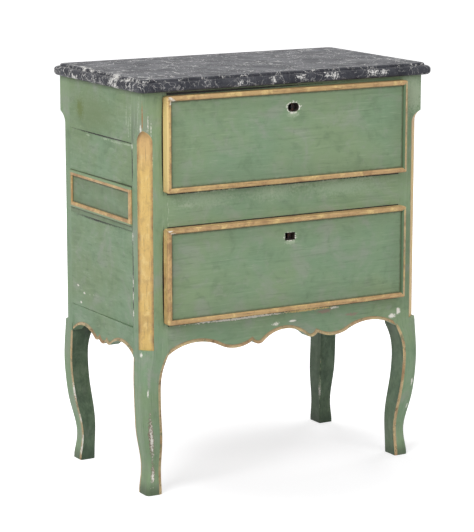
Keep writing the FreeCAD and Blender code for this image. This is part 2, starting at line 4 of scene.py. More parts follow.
import bmesh
import bpy
from bpy.props import FloatProperty, FloatVectorProperty, PointerProperty
from mathutils import Matrix, Vector, noise

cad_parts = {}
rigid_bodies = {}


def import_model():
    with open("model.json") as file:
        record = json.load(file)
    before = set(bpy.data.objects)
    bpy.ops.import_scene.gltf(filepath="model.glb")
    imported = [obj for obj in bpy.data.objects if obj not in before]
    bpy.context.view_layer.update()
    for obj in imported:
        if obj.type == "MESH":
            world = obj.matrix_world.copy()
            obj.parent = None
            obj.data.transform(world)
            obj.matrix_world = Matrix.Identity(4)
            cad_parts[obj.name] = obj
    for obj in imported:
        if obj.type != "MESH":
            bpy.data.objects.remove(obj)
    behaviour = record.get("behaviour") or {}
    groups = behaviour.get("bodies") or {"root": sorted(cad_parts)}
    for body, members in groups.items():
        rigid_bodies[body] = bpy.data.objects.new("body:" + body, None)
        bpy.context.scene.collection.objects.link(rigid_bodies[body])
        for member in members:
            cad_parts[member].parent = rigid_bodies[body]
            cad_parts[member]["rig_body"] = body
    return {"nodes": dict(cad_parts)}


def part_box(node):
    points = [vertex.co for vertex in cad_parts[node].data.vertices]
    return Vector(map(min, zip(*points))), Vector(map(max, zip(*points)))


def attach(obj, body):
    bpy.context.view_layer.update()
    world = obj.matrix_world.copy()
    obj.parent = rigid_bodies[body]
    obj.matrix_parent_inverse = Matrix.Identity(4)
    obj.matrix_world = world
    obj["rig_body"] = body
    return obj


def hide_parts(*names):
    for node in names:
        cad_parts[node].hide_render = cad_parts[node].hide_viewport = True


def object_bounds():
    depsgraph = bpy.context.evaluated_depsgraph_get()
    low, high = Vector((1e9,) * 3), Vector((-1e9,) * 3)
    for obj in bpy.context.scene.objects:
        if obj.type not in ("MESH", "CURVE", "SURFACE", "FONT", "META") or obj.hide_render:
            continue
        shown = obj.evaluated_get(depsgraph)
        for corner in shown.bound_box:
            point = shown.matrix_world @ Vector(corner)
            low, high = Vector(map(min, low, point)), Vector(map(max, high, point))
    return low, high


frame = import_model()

bl_info = {
    "name": "Painted Bedside Chest",
    "version": (1, 0, 0),
    "blender": (4, 5, 0),
    "location": "3D View > Sidebar > Chest",
    "description": "Dresses a bedside chest in worn paint, gilding, marble, old wood and iron",
    "category": "Object",
}

CAD_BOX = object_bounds()
LEVELS = ("upper", "lower")
SIDES = ("left", "right")
ACROSS, DEEP, UPRIGHT = 0, 1, 2
RUNS = ("across", "deep", "upright")
VECTORS = ("Place", "Stretch", "Centre", "Size")

# Tolerances of the mesh work, and the lap of a post over its leg
MERGE = 1e-5
LAP = 10 * MERGE
FLAT_TURN = math.radians(0.3)
SHARP_TURN = math.radians(30)

# Least share of an axis in the normal of a face that looks along it, leans to it or slants between two
FACING = 0.7
LEANING = 0.5
SLANTED = 0.2

# How slowly a pattern runs along a stroke or a plank, and how fast across it
PLAIN_BRUSH = (20.0, 300.0)
SIDE_BRUSH = (40.0, 190.0)
GILT_BRUSH = (26.0, 330.0)
PLANK = (1.3, 22.0)

# Heights between which the soles darken and the gilding of the chamfers turns rose
SOLE_DIRT = (0.03, 0.004)
CHAMFER_ROSE = (0.6, 0.68)

# The outer corner of a leg: its radius and reach as shares of the width, and its growth above the ankle
LEG_CORNER = 0.26
CORNER_REACH = 0.3
CORNER_GROWTH = 0.6
CORNER_STEPS = 6
ANKLE = 0.06

# What is left of a gilded chamfer where it runs out: on a leg above the aprons, on an apron at a post
LEG_RUN_OUT = 0.02
APRON_RUN_OUT = 0.2

# The slab: steps of its corners, cuts of its long edges, and scale and level of the noise that dents it
SLAB_STEPS = 8
LONG_EDGE = 0.1
EDGE_CUTS = 70
DENT_SCALE = 70
DENT_LEVEL = 0.25

# Places of the finishes in the material lists of the posts and of the drawer fronts
EDGE_GILT, CHAMFER_GILT, SHADED_INSIDE = 1, 2, 3
LEVEL_GILT, UPRIGHT_GILT, SHADED_HOLLOW, BACK = 1, 2, 3, 4


def chip(red, green, blue):
    """A colour as a paint chip shows it, from 0 to 255, as the linear colour that shaders take."""
    shares = (value / 255 for value in (red, green, blue))
    return tuple(s / 12.92 if s <= 0.04045 else ((s + 0.055) / 1.055) ** 2.4 for s in shares)


def length(name, description, default):
    return FloatProperty(name=name, description=description, default=default, unit="LENGTH", precision=4)


def angle(name, description, degrees):
    return FloatProperty(name=name, description=description, default=math.radians(degrees), unit="ROTATION")


def power(name, description, default):
    return FloatProperty(name=name, description=description, default=default, min=0, unit="POWER")


def colour(name, description, *levels):
    return FloatVectorProperty(
        name=name, description=description, default=chip(*levels), subtype="COLOR", min=0, max=1
    )


class ChestSizes(bpy.types.PropertyGroup):
    """Sizes of the finish, on top of the frame's own sizes."""

    arris: length("Arris", "Width of the softened edges of the joinery", 0.0008)
    post_arris: length("Post arris", "Width of the softened edges of the posts", 0.0014)
    gilt_edge: length("Gilt edge", "Width of the gilded chamfer along the legs", 0.0058)
    gilt_slope: length("Gilt slope", "Depth of the gilded chamfer along the aprons", 0.0024)
    leg_slope: length("Leg slope", "Depth of the gilded chamfer along the legs", 0.0012)
    leg_swell: length("Leg swell", "Extra depth of the legs below the aprons", 0.006)
    apron_edge: length("Apron edge", "Width of the gilded chamfer along the aprons", 0.0058)
    ring_rise: length("Ring rise", "Height between two rings of a leg", 0.008)
    leg_blend: length("Leg blend", "Height over which a leg runs into the aprons", 0.07)
    lip_undercut: length("Lip undercut", "Width of the cut behind a drawer front's lip", 0.0042)
    lip_corner: length("Lip corner", "Size of the worn corners of a drawer front", 0.0035)
    chamfer: length("Chamfer", "Width of a post's chamfer on each face", 0.021)
    slab_nose: length("Slab nose", "Radius of the slab's rounded lower layer", 0.007)
    slab_rise: length("Slab rise", "Height of the slab's lower layer", 0.018)
    slab_step: length("Slab step", "Width of the step on the slab", 0.009)
    slab_edge: length("Slab edge", "Radius of the slab's upper edge", 0.003)
    slab_corner: length("Slab corner", "Radius of the slab's corners in plan", 0.009)
    slab_wear: length("Slab wear", "Depth of the dents along the slab's edge", 0.0012)


class ChestColours(bpy.types.PropertyGroup):
    """Colours of the finishes."""

    paint_warm: colour("Warm paint", "Yellowed patches of the paint", 138, 160, 123)
    paint_cool: colour("Cool paint", "Bluish ground of the paint", 130, 157, 125)
    paint_deep: colour("Deep paint", "Brush marks and dirt in the paint", 94, 118, 88)
    # Pale paint also lays a painted highlight on the front right post.
    paint_pale: colour("Pale paint", "Rubbed streaks of the paint", 168, 184, 155)
    # Painted highlight: lighter bands on the middle rail under the upper drawer, where its shadow falls.
    paint_light: colour("Light paint", "Lighter bands of the paint", 156, 177, 146)
    paint_grey: colour("Grey paint", "Chalky bloom of the paint", 152, 160, 144)
    paint_moss: colour("Mossy paint", "Darkened yellowish paint", 118, 138, 98)
    stain: colour("Stain", "Yellowed stains of the paint", 106, 124, 66)
    # Painted shade: darker green laid on the inner faces of the legs, where the case shades them.
    grime: colour("Grime", "Dark grime on the inner faces of the legs", 52, 70, 52)
    # Seam also lays the painted shadow under the left middle rail.
    seam: colour("Seam", "Dirt in the joints", 34, 38, 28)
    # Darkening beside the mouldings: dirt and painted shade.
    dirt: colour("Dirt", "Brown dirt beside the mouldings", 84, 88, 62)
    gilt: colour("Gilt", "Ochre gilding of the chamfers", 228, 194, 116)
    gilt_pale: colour("Pale gilt", "Light streaks of the gilding", 236, 208, 142)
    # Brown and dark gilt are dirt, and at the rims where gilding meets its board they are painted shade too.
    gilt_brown: colour("Brown gilt", "Dirty streaks of the gilding", 160, 124, 86)
    gilt_dark: colour("Dark gilt", "Dirt at the rims of the gilding", 98, 78, 52)
    gilt_rose: colour("Rose gilt", "Red ground that shows through the gilding", 202, 162, 122)
    gilt_aged: colour("Aged gilt", "Ground of the upright gilt mouldings", 212, 176, 114)
    gilt_tan: colour("Tan gilt", "Ground of the level gilt mouldings", 200, 167, 115)
    gilt_faded: colour("Faded gilt", "Gilding worn to a pale khaki", 192, 176, 136)
    gesso: colour("Gesso", "White ground under the paint", 248, 245, 234)
    bare: colour("Bare wood", "Wood where the paint has gone", 152, 138, 122)
    pine: colour("Pine", "Old unpainted softwood", 150, 112, 74)
    pine_deep: colour("Deep pine", "Grain of the old softwood", 96, 66, 42)
    # Near black laid as dirt and painted shade: keyhole walls, lip undercuts, and dark lines in gaps and
    # joints.
    hollow: colour("Hollow", "Dirty wood inside the keyholes and behind the lips", 32, 29, 27)
    marble: colour("Marble", "Ground of the dark marble", 77, 78, 84)
    marble_deep: colour("Deep marble", "Black clouds of the marble", 48, 49, 56)
    vein: colour("Vein", "White veins of the marble", 230, 228, 224)
    iron: colour("Iron", "Dark iron of the locks", 62, 58, 60)
    rust: colour("Rust", "Rust on the locks", 98, 62, 44)
    floor: colour("Floor", "Pale floor", 198, 198, 200)


class ChestStage(bpy.types.PropertyGroup):
    """Camera and light."""

    azimuth: angle("Azimuth", "Turn of the camera round the chest", -29.97)
    elevation: angle("Elevation", "Camera above the horizon", 11.25)
    distance: length("Distance", "Camera from the place it aims at", 4.4316)
    aim: FloatVectorProperty(
        name="Aim",
        description="Place at the middle of the image",
        default=(-0.0067, 0.0095, 0.3819),
        unit="LENGTH",
    )
    lens: FloatProperty(name="Lens", description="Focal length in millimetres", default=153.7, min=1)
    ambient: FloatProperty(name="Ambient", description="Light from all round", default=0.24, min=0)
    key: power("Key", "Power of the large lamp on the left", 84)
    fill: power("Fill", "Power of the lamp in front", 39)
    side: power("Side", "Power of the lamp on the right", 30)
    back: power("Back", "Power of the lamp behind", 48)


def sizes():
    return bpy.context.scene.chest_sizes


def colours():
    return bpy.context.scene.chest_colours


class Wires:
    """Adds the nodes of one shader tree and joins their sockets."""

    def __init__(self, tree):
        self.tree = tree

    def feed(self, socket, value):
        """Gives a socket a link, one of the chest's colours by its name, or a constant."""
        if isinstance(value, bpy.types.NodeSocket):
            self.tree.links.new(value, socket)
        elif isinstance(value, str):
            socket.default_value = (*getattr(colours(), value), 1)
        else:
            socket.default_value = value

    def node(self, kind, inputs=(), **settings):
        """A node with its settings; inputs pairs the names or numbers of sockets with their values."""
        made = self.tree.nodes.new(f"ShaderNode{kind}")
        for key, value in settings.items():
            setattr(made, key, value)
        for key, value in dict(inputs).items():
            self.feed(made.inputs[key], value)
        return made

    def group(self, fill, **given):
        """Outputs of a shared group, which is named after the function that fills it."""
        tree = bpy.data.node_groups.get(fill.__name__) or new_group(fill, given)
        return self.node("Group", given, node_tree=tree).outputs

    def sum(self, operation, *values):
        return self.node("Math", enumerate(values), operation=operation).outputs[0]

    def vector(self, operation, *values):
        made = self.node("VectorMath", enumerate(values), operation=operation)
        return made.outputs["Value" if operation in ("LENGTH", "DISTANCE") else "Vector"]

    def attribute(self, name, output="Fac"):
        return self.node("Attribute", attribute_name=name).outputs[output]

    def part(self, place, axis):
        return self.node("SeparateXYZ", {"Vector": place}).outputs[axis]

    def clouds(self, place, scale, board=0.0, detail=4.0, roughness=0.6, distortion=0.0):
        names = ("Vector", "Scale", "W", "Detail", "Roughness", "Distortion")
        given = zip(names, (place, scale, board, detail, roughness, distortion))
        return self.node("TexNoise", given, noise_dimensions="4D").outputs["Fac"]

    def step(self, value, low, high, bottom=0.0, top=1.0):
        """Runs smoothly from bottom to top while a value runs from low to high."""
        names = ("Value", "From Min", "From Max", "To Min", "To Max")
        given = zip(names, (value, low, high, bottom, top))
        return self.node("MapRange", given, interpolation_type="SMOOTHSTEP").outputs[0]

    def mix(self, factor, first, second):
        given = ((0, factor), (6, first), (7, second))
        return self.node("Mix", given, data_type="RGBA").outputs[2]


def new_group(fill, names):
    """A shader node group with the named inputs; fill(wires, input sockets) gives its outputs by name."""
    tree = bpy.data.node_groups.new(fill.__name__, "ShaderNodeTree")
    for name in names:
        kind = "NodeSocketVector" if name in VECTORS else "NodeSocketFloat"
        tree.interface.new_socket(name, in_out="INPUT", socket_type=kind)
    made = fill(Wires(tree), tree.nodes.new("NodeGroupInput").outputs)
    for name in made:
        tree.interface.new_socket(name, in_out="OUTPUT", socket_type="NodeSocketFloat")
    leave = tree.nodes.new("NodeGroupOutput")
    for name, socket in made.items():
        tree.links.new(socket, leave.inputs[name])
    return tree


def brush_marks(wires, given):
    """Marks of the brush along one direction, soft patches and fine specks."""
    place, board = given["Place"], given["Board"]
    drawn = wires.vector("MULTIPLY", place, given["Stretch"])
    loose = wires.vector("MULTIPLY", drawn, (0.3, 0.3, 0.3))
    return {
        "Streak": wires.clouds(drawn, 1.0, board, detail=6.0, roughness=0.66, distortion=0.3),
        "Stroke": wires.clouds(loose, 1.0, board, distortion=1.2),
        "Patch": wires.clouds(place, 6.0, board, detail=3.0, roughness=0.55),
        "Cloud": wires.clouds(place, 17.0, board, distortion=0.8),
        "Mottle": wires.clouds(place, 42.0, board, detail=6.0, roughness=0.7, distortion=0.4),
        "Speck": wires.clouds(place, 420.0, board, detail=2.0, roughness=0.7),
    }


def flakes(wires, given):
    """Small flakes lost from a finish, in a few loose clusters."""
    place, board = given["Place"], given["Board"]
    cluster = wires.step(wires.clouds(place, 11.0, board, detail=2.0), 0.54, 0.7)
    crumb = wires.clouds(place, given["Scale"], board, detail=5.0, roughness=0.72)
    edge = wires.sum("SUBTRACT", 0.86, given["Cover"])
    lost = wires.step(crumb, edge, wires.sum("ADD", edge, 0.02))
    return {"Mask": wires.sum("MULTIPLY", cluster, lost)}


def rubbed_arris(wires, given):
    """Wear along the softened edges, broken up along their length."""
    broken = wires.clouds(given["Place"], 46.0, given["Board"], detail=6.0, roughness=0.75)
    level = wires.sum("SUBTRACT", 1.0, given["Amount"])
    shown = wires.step(broken, level, wires.sum("ADD", level, 0.1))
    return {"Mask": wires.sum("MULTIPLY", wires.step(given["Arris"], 0.25, 0.8), shown)}


def ragged_spot(wires, given):
    """One mark with a ragged outline about a place."""
    wander = wires.clouds(given["Place"], 260.0, roughness=0.7)
    away = wires.vector("DIVIDE", wires.vector("SUBTRACT", given["Place"], given["Centre"]), given["Size"])
    reach = wires.vector("LENGTH", away)
    ragged = wires.sum("MULTIPLY_ADD", wires.sum("SUBTRACT", wander, 0.5), given["Ragged"], reach)
    return {"Mask": wires.step(ragged, given["Solid"], 1.0, 1.0, 0.0)}


def plank_grain(wires, given):
    """Grain of a plank along one direction."""
    drawn = wires.vector("MULTIPLY", given["Place"], given["Stretch"])
    ring = wires.clouds(drawn, 1.0, given["Board"], roughness=0.55, distortion=0.6)
    band = wires.sum("FRACT", wires.sum("MULTIPLY", ring, 9.0))
    pore = wires.clouds(drawn, 7.0, given["Board"], detail=5.0, roughness=0.7)
    return {"Grain": wires.step(band, 0.55, 1.0), "Pore": pore}


def blank_tree(item):
    """The emptied shader tree of a material or a world."""
    item.use_nodes = True
    item.node_tree.nodes.clear()
    return item.node_tree


class Coat(Wires):
    """A new material that is built up in layers of colour over a ground."""

    def __init__(self, name, ground):
        self.material = bpy.data.materials.new(name)
        super().__init__(blank_tree(self.material))
        self.shader = self.node("BsdfPrincipled")
        self.node("OutputMaterial", {"Surface": self.shader.outputs[0]})
        self.place = self.attribute("flow", "Vector")
        self.board = self.attribute("board")
        self.base = ground

    def lay(self, mask, tint):
        self.base = self.mix(mask, self.base, tint)

    def lay_rows(self, pattern, rows):
        """Lays colours where outputs of a pattern run from low to high, each up to an amount."""
        for kind, low, high, amount, tint in rows:
            self.lay(self.step(pattern[kind], low, high, 0.0, amount), tint)

    def lay_marks(self, marks):
        """Lays placed marks, each as (centre, radii, colour, raggedness, solid share)."""
        for centre, radii, tint, ragged, solid in marks:
            spot = self.group(
                ragged_spot, Place=self.place, Centre=centre, Size=radii, Ragged=ragged, Solid=solid
            )
            self.lay(spot["Mask"], tint)

    def wear(self, fill, tint, share=1.0, **given):
        """Lays a share of a colour where a pattern of wear shows, and gives the pattern's mask."""
        mask = self.group(fill, Place=self.place, Board=self.board, **given)["Mask"]
        self.lay(self.sum("MULTIPLY", mask, share), tint)
        return mask

    def done(self, roughness, height, strength, depth, specular=0.5):
        """Joins the colour, the roughness, the bumps and the gloss to the shader."""
        bump = self.node("Bump", {"Height": height, "Strength": strength, "Distance": depth})
        names = ("Base Color", "Roughness", "Normal", "Specular IOR Level")
        for name, value in zip(names, (self.base, roughness, bump.outputs[0], specular)):
            self.feed(self.shader.inputs[name], value)
        return self.material


def along(axis, slow, fast):
    """Scale of a pattern that runs slowly along one axis and fast across it."""
    return tuple(slow if index == axis else fast for index in range(3))


def frame_dirt_and_shade(coat, box, axis):
    """Dirt and painted shade beside a moulding, from the outline that a box has along one level axis and
    upright.
    """
    low, high = box
    gaps = []
    for side in (axis, UPRIGHT):
        away = coat.sum("SUBTRACT", coat.part(coat.place, side), (low[side] + high[side]) / 2)
        gaps.append(coat.sum("SUBTRACT", (high[side] - low[side]) / 2, coat.sum("ABSOLUTE", away)))
    ragged = coat.sum("SUBTRACT", coat.clouds(coat.place, 120.0), 0.5)
    gap = coat.sum("MULTIPLY_ADD", ragged, 0.006, coat.sum("ABSOLUTE", coat.sum("MINIMUM", *gaps)))
    narrow = coat.step(gap, 0.005, 0.0005, 0.0, 0.6)
    return coat.sum("ADD", narrow, coat.step(gap, 0.05, 0.0, 0.0, 0.2))


def green_paint(name, axis, marks=(), framed=(), grime=0.0):
    """Sage paint brushed along one axis over white ground, rubbed at the edges and dirty in the joints, with
    dirt and painted shade beside mouldings and painted shade on the inner faces of the legs.
    """
    coat = Coat(name, "paint_cool")
    stretch = along(axis, *(SIDE_BRUSH if axis == DEEP else PLAIN_BRUSH))
    brush = coat.group(brush_marks, Place=coat.place, Stretch=stretch, Board=0.0)
    rows = [
        ("Patch", 0.36, 0.64, 1.0, "paint_warm"),
        ("Cloud", 0.5, 0.7, 0.7, "paint_grey"),
        ("Cloud", 0.48, 0.3, 0.4, "paint_deep"),
        ("Mottle", 0.52, 0.7, 0.5, "paint_grey"),
        ("Mottle", 0.46, 0.28, 0.36, "paint_deep"),
        ("Stroke", 0.54, 0.74, 0.22, "paint_pale"),
        ("Stroke", 0.46, 0.3, 0.2, "paint_deep"),
        ("Streak", 0.54, 0.72, 0.45, "paint_pale"),
        ("Streak", 0.46, 0.28, 0.55, "paint_deep"),
        ("Speck", 0.62, 0.8, 0.35, "paint_deep"),
    ]
    if axis == DEEP:
        rows.insert(1, ("Patch", 0.36, 0.58, 0.4, "paint_moss"))
    coat.lay_rows(brush, rows)
    coat.lay(coat.step(coat.part(coat.place, UPRIGHT), *SOLE_DIRT, 0.0, 0.55), "seam")
    # Painted shade on the inner faces of the legs, darker in patches.
    if grime:
        coat.lay(coat.step(brush["Mottle"], 0.3, 0.7, grime, 0.6 * grime), "grime")
    for box in framed:
        # Dirt and painted shade beside the mouldings.
        coat.lay(frame_dirt_and_shade(coat, box, axis), "dirt")
    coat.lay_marks(marks)
    lost = coat.wear(flakes, "gesso", Scale=150.0, Cover=0.12)
    arris = coat.attribute("arris")
    coat.wear(rubbed_arris, "paint_pale", Arris=arris, Amount=0.5)
    coat.wear(rubbed_arris, "gilt_rose", Arris=arris, Amount=0.43)
    seam = coat.sum("MULTIPLY", coat.attribute("seam"), 2.4)
    coat.wear(rubbed_arris, "seam", Arris=seam, Amount=0.72)
    height = coat.sum("SUBTRACT", brush["Streak"], coat.sum("MULTIPLY", lost, 0.6))
    return coat.done(coat.step(brush["Stroke"], 0.25, 0.75, 0.62, 0.44), height, 0.3, 0.0006, 0.35)


def gilding(name, axis, ground, dirt, worn=0.0, on_chamfer=False, marks=()):
    """Ochre gilding streaked along one axis, rubbed through to its red ground, and darkened at the rims by
    dirt and painted shade.
    """
    coat = Coat(name, ground)
    place, board = coat.place, coat.board
    brush = coat.group(brush_marks, Place=place, Stretch=along(axis, *GILT_BRUSH), Board=board)
    coat.lay(coat.step(brush["Patch"], 0.4, 0.62, 0.15 * dirt, 0.75 * dirt), "gilt_rose")
    rows = (
        ("Cloud", 0.52, 0.66, dirt, "gilt_brown"),
        ("Mottle", 0.5, 0.66, 0.9 - 0.5 * worn, "gilt_pale"),
        ("Mottle", 0.48, 0.34, dirt, "gilt_brown"),
        ("Streak", 0.54, 0.7, 0.8 - 0.4 * worn, "gilt_pale"),
        ("Streak", 0.48, 0.32, 0.45 + 0.5 * dirt, "gilt_brown"),
        ("Streak", 0.4, 0.26, dirt, "gilt_dark"),
        ("Speck", 0.6, 0.74, 0.3 + 0.6 * dirt, "gilt_dark"),
    )
    coat.lay_rows(brush, rows)
    if worn:
        gap = coat.clouds(place, 70.0, board, detail=5.0, roughness=0.7)
        coat.lay(coat.step(gap, 0.54, 0.62, 0.0, worn), "paint_deep")
        coat.lay(coat.step(gap, 0.44, 0.36, 0.0, worn), "gilt_dark")
    # Rims darken: dirt along the chamfers and the aprons, painted shade with dirt where a moulding meets its
    # board and at the back of a drawer front's lip.
    rim, rim_shade_and_dirt = coat.attribute("rim"), dirt
    if on_chamfer:
        half = sizes().chamfer / 2
        reach = coat.sum("ABSOLUTE", coat.part(place, ACROSS))
        away = coat.sum("ABSOLUTE", coat.sum("SUBTRACT", reach, side_face(1) - half))
        rim, rim_shade_and_dirt = coat.sum("DIVIDE", away, half), 1.0
        coat.lay(coat.step(coat.part(place, UPRIGHT), *CHAMFER_ROSE, 0.0, 0.5), "gilt_rose")
    uneven = coat.sum("MULTIPLY_ADD", coat.sum("SUBTRACT", brush["Mottle"], 0.5), 1.2, rim)
    coat.lay(coat.step(uneven, 0.5, 0.95, 0.0, 0.4 + 0.3 * rim_shade_and_dirt), "gilt_brown")
    coat.lay(coat.step(uneven, 0.85, 1.15, 0.0, 0.2 + 0.6 * rim_shade_and_dirt), "gilt_dark")
    coat.lay_marks(marks)
    coat.wear(flakes, "gesso", Scale=220.0, Cover=0.16 + 0.1 * worn)
    coat.wear(rubbed_arris, "gilt_pale", 0.7, Arris=coat.attribute("arris"), Amount=0.52)
    return coat.done(coat.step(brush["Streak"], 0.3, 0.7, 0.6, 0.42), brush["Streak"], 0.45, 0.0007, 0.4)


def old_pine(name, axis):
    """Unpainted softwood with its grain along one axis."""
    coat = Coat(name, "pine")
    plank = coat.group(plank_grain, Place=coat.place, Stretch=along(axis, *PLANK), Board=coat.board)
    coat.lay(coat.sum("MULTIPLY", plank["Grain"], 0.55), "pine_deep")
    coat.lay(coat.step(plank["Pore"], 0.55, 0.75, 0.0, 0.5), "pine_deep")
    stain = coat.clouds(coat.place, 6.0, coat.board, detail=5.0)
    coat.lay(coat.step(stain, 0.5, 0.72, 0.0, 0.45), "pine_deep")
    coat.wear(rubbed_arris, "bare", 0.5, Arris=coat.attribute("arris"), Amount=0.6)
    return coat.done(coat.step(plank["Grain"], 0.0, 1.0, 0.78, 0.62), plank["Pore"], 0.4, 0.0005)


def dirty_hollow(name):
    """Wood darkened by dirt and painted shade, inside the keyholes and behind the lips of the drawers."""
    coat = Coat(name, "hollow")
    drawn = coat.vector("MULTIPLY", coat.place, (40, 160, 160))
    grain = coat.clouds(drawn, 1.0, coat.board, detail=5.0)
    coat.lay(coat.step(grain, 0.4, 0.75, 0.0, 0.45), "pine_deep")
    return coat.done(coat.step(grain, 0.3, 0.7, 0.95, 0.8), grain, 0.5, 0.0006)


def dark_marble(name):
    """Nearly black marble with broken white veins, crowded into clumps at the slab's left end."""
    coat = Coat(name, "marble_deep")
    place, board = coat.place, coat.board
    low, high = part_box("top_slab")
    cloud = coat.clouds(place, 18.0, board, detail=7.0, roughness=0.7)
    coat.lay(coat.step(cloud, 0.36, 0.62), "marble")
    drift = coat.node("TexNoise", {"Vector": place, "Scale": 12.0, "Detail": 5.0, "Roughness": 0.65})
    bent = coat.vector("ADD", place, coat.vector("MULTIPLY", drift.outputs["Color"], (0.09, 0.09, 0.09)))
    end = coat.step(coat.part(place, ACROSS), low.x + 0.05, low.x + 0.012)
    end = coat.sum("MULTIPLY", end, coat.step(coat.part(place, DEEP), low.y, high.y * 0.2, 0.7, 1.0))
    rim = coat.step(coat.part(place, UPRIGHT), high.z - 0.006, high.z - 0.003, 0.5, 1.0)
    rim = coat.sum("MAXIMUM", rim, end)
    nets = (
        (9.0, 0.010, 0.44, 1.0),
        (21.0, 0.020, 0.455, 1.0),
        (48.0, 0.040, 0.51, 0.8),
        (90.0, 0.06, 0.57, 0.7),
    )
    for scale, width, cover, shown in nets:
        cells = coat.node("TexVoronoi", {"Vector": bent, "Scale": scale}, feature="DISTANCE_TO_EDGE")
        line = coat.step(cells.outputs["Distance"], width, 0.0, 0.0, shown)
        level = coat.sum("MULTIPLY_ADD", end, -0.03, cover)
        broken = coat.clouds(place, scale * 1.4, board, detail=6.0, roughness=0.75)
        shard = coat.step(broken, level, coat.sum("ADD", level, 0.09))
        coat.lay(coat.sum("MULTIPLY", coat.sum("MULTIPLY", line, shard), rim), "vein")
    crumbs = coat.clouds(bent, 95.0, board, detail=6.0, roughness=0.8, distortion=0.5)
    lump = coat.step(coat.clouds(place, 24.0, board, detail=3.0), 0.46, 0.64)
    level = coat.sum("MULTIPLY_ADD", coat.sum("MULTIPLY", end, lump), -0.36, 0.76)
    coat.lay(coat.step(crumbs, level, coat.sum("ADD", level, 0.04), 0.0, 0.95), "vein")
    coat.lay(coat.step(coat.clouds(bent, 260.0, board, detail=3.0), 0.55, 0.75, 0.0, 0.1), "vein")
    coat.lay_marks(slab_marks())
    return coat.done(coat.step(cloud, 0.3, 0.7, 0.5, 0.36), crumbs, 0.12, 0.0004, 0.1)


def old_iron(name):
    """Dark forged iron with a bloom of rust."""
    coat = Coat(name, "iron")
    scale = coat.clouds(coat.place, 90.0, coat.board, detail=6.0, roughness=0.7)
    coat.lay(coat.step(scale, 0.5, 0.68), "rust")
    coat.feed(coat.shader.inputs["Metallic"], coat.step(scale, 0.45, 0.65, 0.85, 0.1))
    return coat.done(coat.step(scale, 0.3, 0.7, 0.42, 0.8), scale, 0.5, 0.0006)


def finish(kind, name, *settings, **extra):
    """A finish by name, made the first time that it is asked for."""
    return bpy.data.materials.get(name) or kind(name, *settings, **extra)


def paint_of(node, axis):
    """Paint of one piece brushed along one axis, with the piece's own marks where it has some."""
    if node in MARKS_OF:
        return finish(green_paint, f"green_{node}", axis, MARKS_OF[node]())
    return finish(green_paint, f"green_{RUNS[axis]}", axis)


def gilt_along(axis):
    ground, dirt = ("gilt_aged", 0.85) if axis == UPRIGHT else ("gilt_tan", 0.7)
    marks = moulding_marks() if axis == DEEP else border_marks() + moulding_marks()
    return finish(gilding, f"gilt_{RUNS[axis]}", axis, ground, dirt, marks=marks)


def faded_gilt():
    """Gilding of the right strips of the drawers, painted over along its inner half."""
    low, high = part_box("upper_drawer_border_right")
    over = ((low.x, low.y, low.z), (0.5 * (high.x - low.x), 0.01, 3.0), "paint_deep", 0.4, 0.6)
    return finish(gilding, "gilt_faded_upright", UPRIGHT, "gilt_faded", 0.8, worn=0.4, marks=[over])


def worn_gilt_along(axis):
    marks = leg_marks() if axis == UPRIGHT else ()
    return finish(gilding, f"worn_gilt_{RUNS[axis]}", axis, "gilt_faded", 0.7, worn=0.7, marks=marks)


def pine_along(axis):
    return finish(old_pine, f"pine_{RUNS[axis]}", axis)


def add_layers(bm):
    """Adds the values that the finishes read at each vertex."""
    for name in ("arris", "seam", "rim", "board"):
        bm.verts.layers.float.new(name)
    bm.verts.layers.float_vector.new("flow")


def node_copy(node):
    """A node's mesh with its loose triangles joined and its flat faces made whole."""
    bm = bmesh.new()
    bm.from_mesh(frame["nodes"][node].data)
    add_layers(bm)
    bmesh.ops.remove_doubles(bm, verts=bm.verts, dist=MERGE)
    bmesh.ops.dissolve_limit(
        bm,
        angle_limit=FLAT_TURN,
        use_dissolve_boundaries=False,
        verts=bm.verts,
        edges=bm.edges,
        delimit=set(),
    )
    for face in bm.faces:
        face.material_index = 0
        face.normal_update()
    return bm


def bevel(bm, geom, width, segments, affect="EDGES", material=-1):
    """Rounds edges, or the corners of a level face."""
    return bmesh.ops.bevel(
        bm,
        geom=geom,
        offset=width,
        offset_type="OFFSET",
        segments=segments,
        profile=0.5,
        affect=affect,
        material=material,
        clamp_overlap=affect == "EDGES",
    )


def soften(bm, edges, width, segments=2, material=-1, layer="arris"):
    """Rounds some arrises and marks the middle of each, where wear or dirt starts."""
    done = bevel(bm, edges, width, segments, material=material)
    marked = bm.verts.layers.float[layer]
    rounded = set(done["faces"])
    for vert in done["verts"]:
        if all(face in rounded for face in vert.link_faces):
            vert[marked] = 1.0


def cut(bm, place, normal, **clear):
    """Cuts a bmesh along a plane, may take off one side and gives what lies in the cut."""
    whole = bm.verts[:] + bm.edges[:] + bm.faces[:]
    done = bmesh.ops.bisect_plane(bm, geom=whole, dist=MERGE, plane_co=place, plane_no=normal, **clear)
    return done["geom_cut"]


def cut_level(bm, height, **clear):
    return cut(bm, (0, 0, height), (0, 0, 1), **clear)


def mark_rim(bm, axis, level):
    """Marks the vertices in one plane, where a moulding meets what carries it."""
    rim = bm.verts.layers.float["rim"]
    for vert in bm.verts:
        if abs(vert.co[axis] - level) < MERGE:
            vert[rim] = 1.0


def runs_in(edge, axis, level):
    """Whether an edge lies in a plane square to one axis."""
    return all(abs(vert.co[axis] - level) < MERGE for vert in edge.verts)


def sharp_edges(bm, flush=None):
    """The sharp edges, apart from those that run into a flush neighbour."""
    sharp = [edge for edge in bm.edges if edge.is_manifold and edge.calc_face_angle() > SHARP_TURN]
    return [edge for edge in sharp if not (flush and flush(edge))]


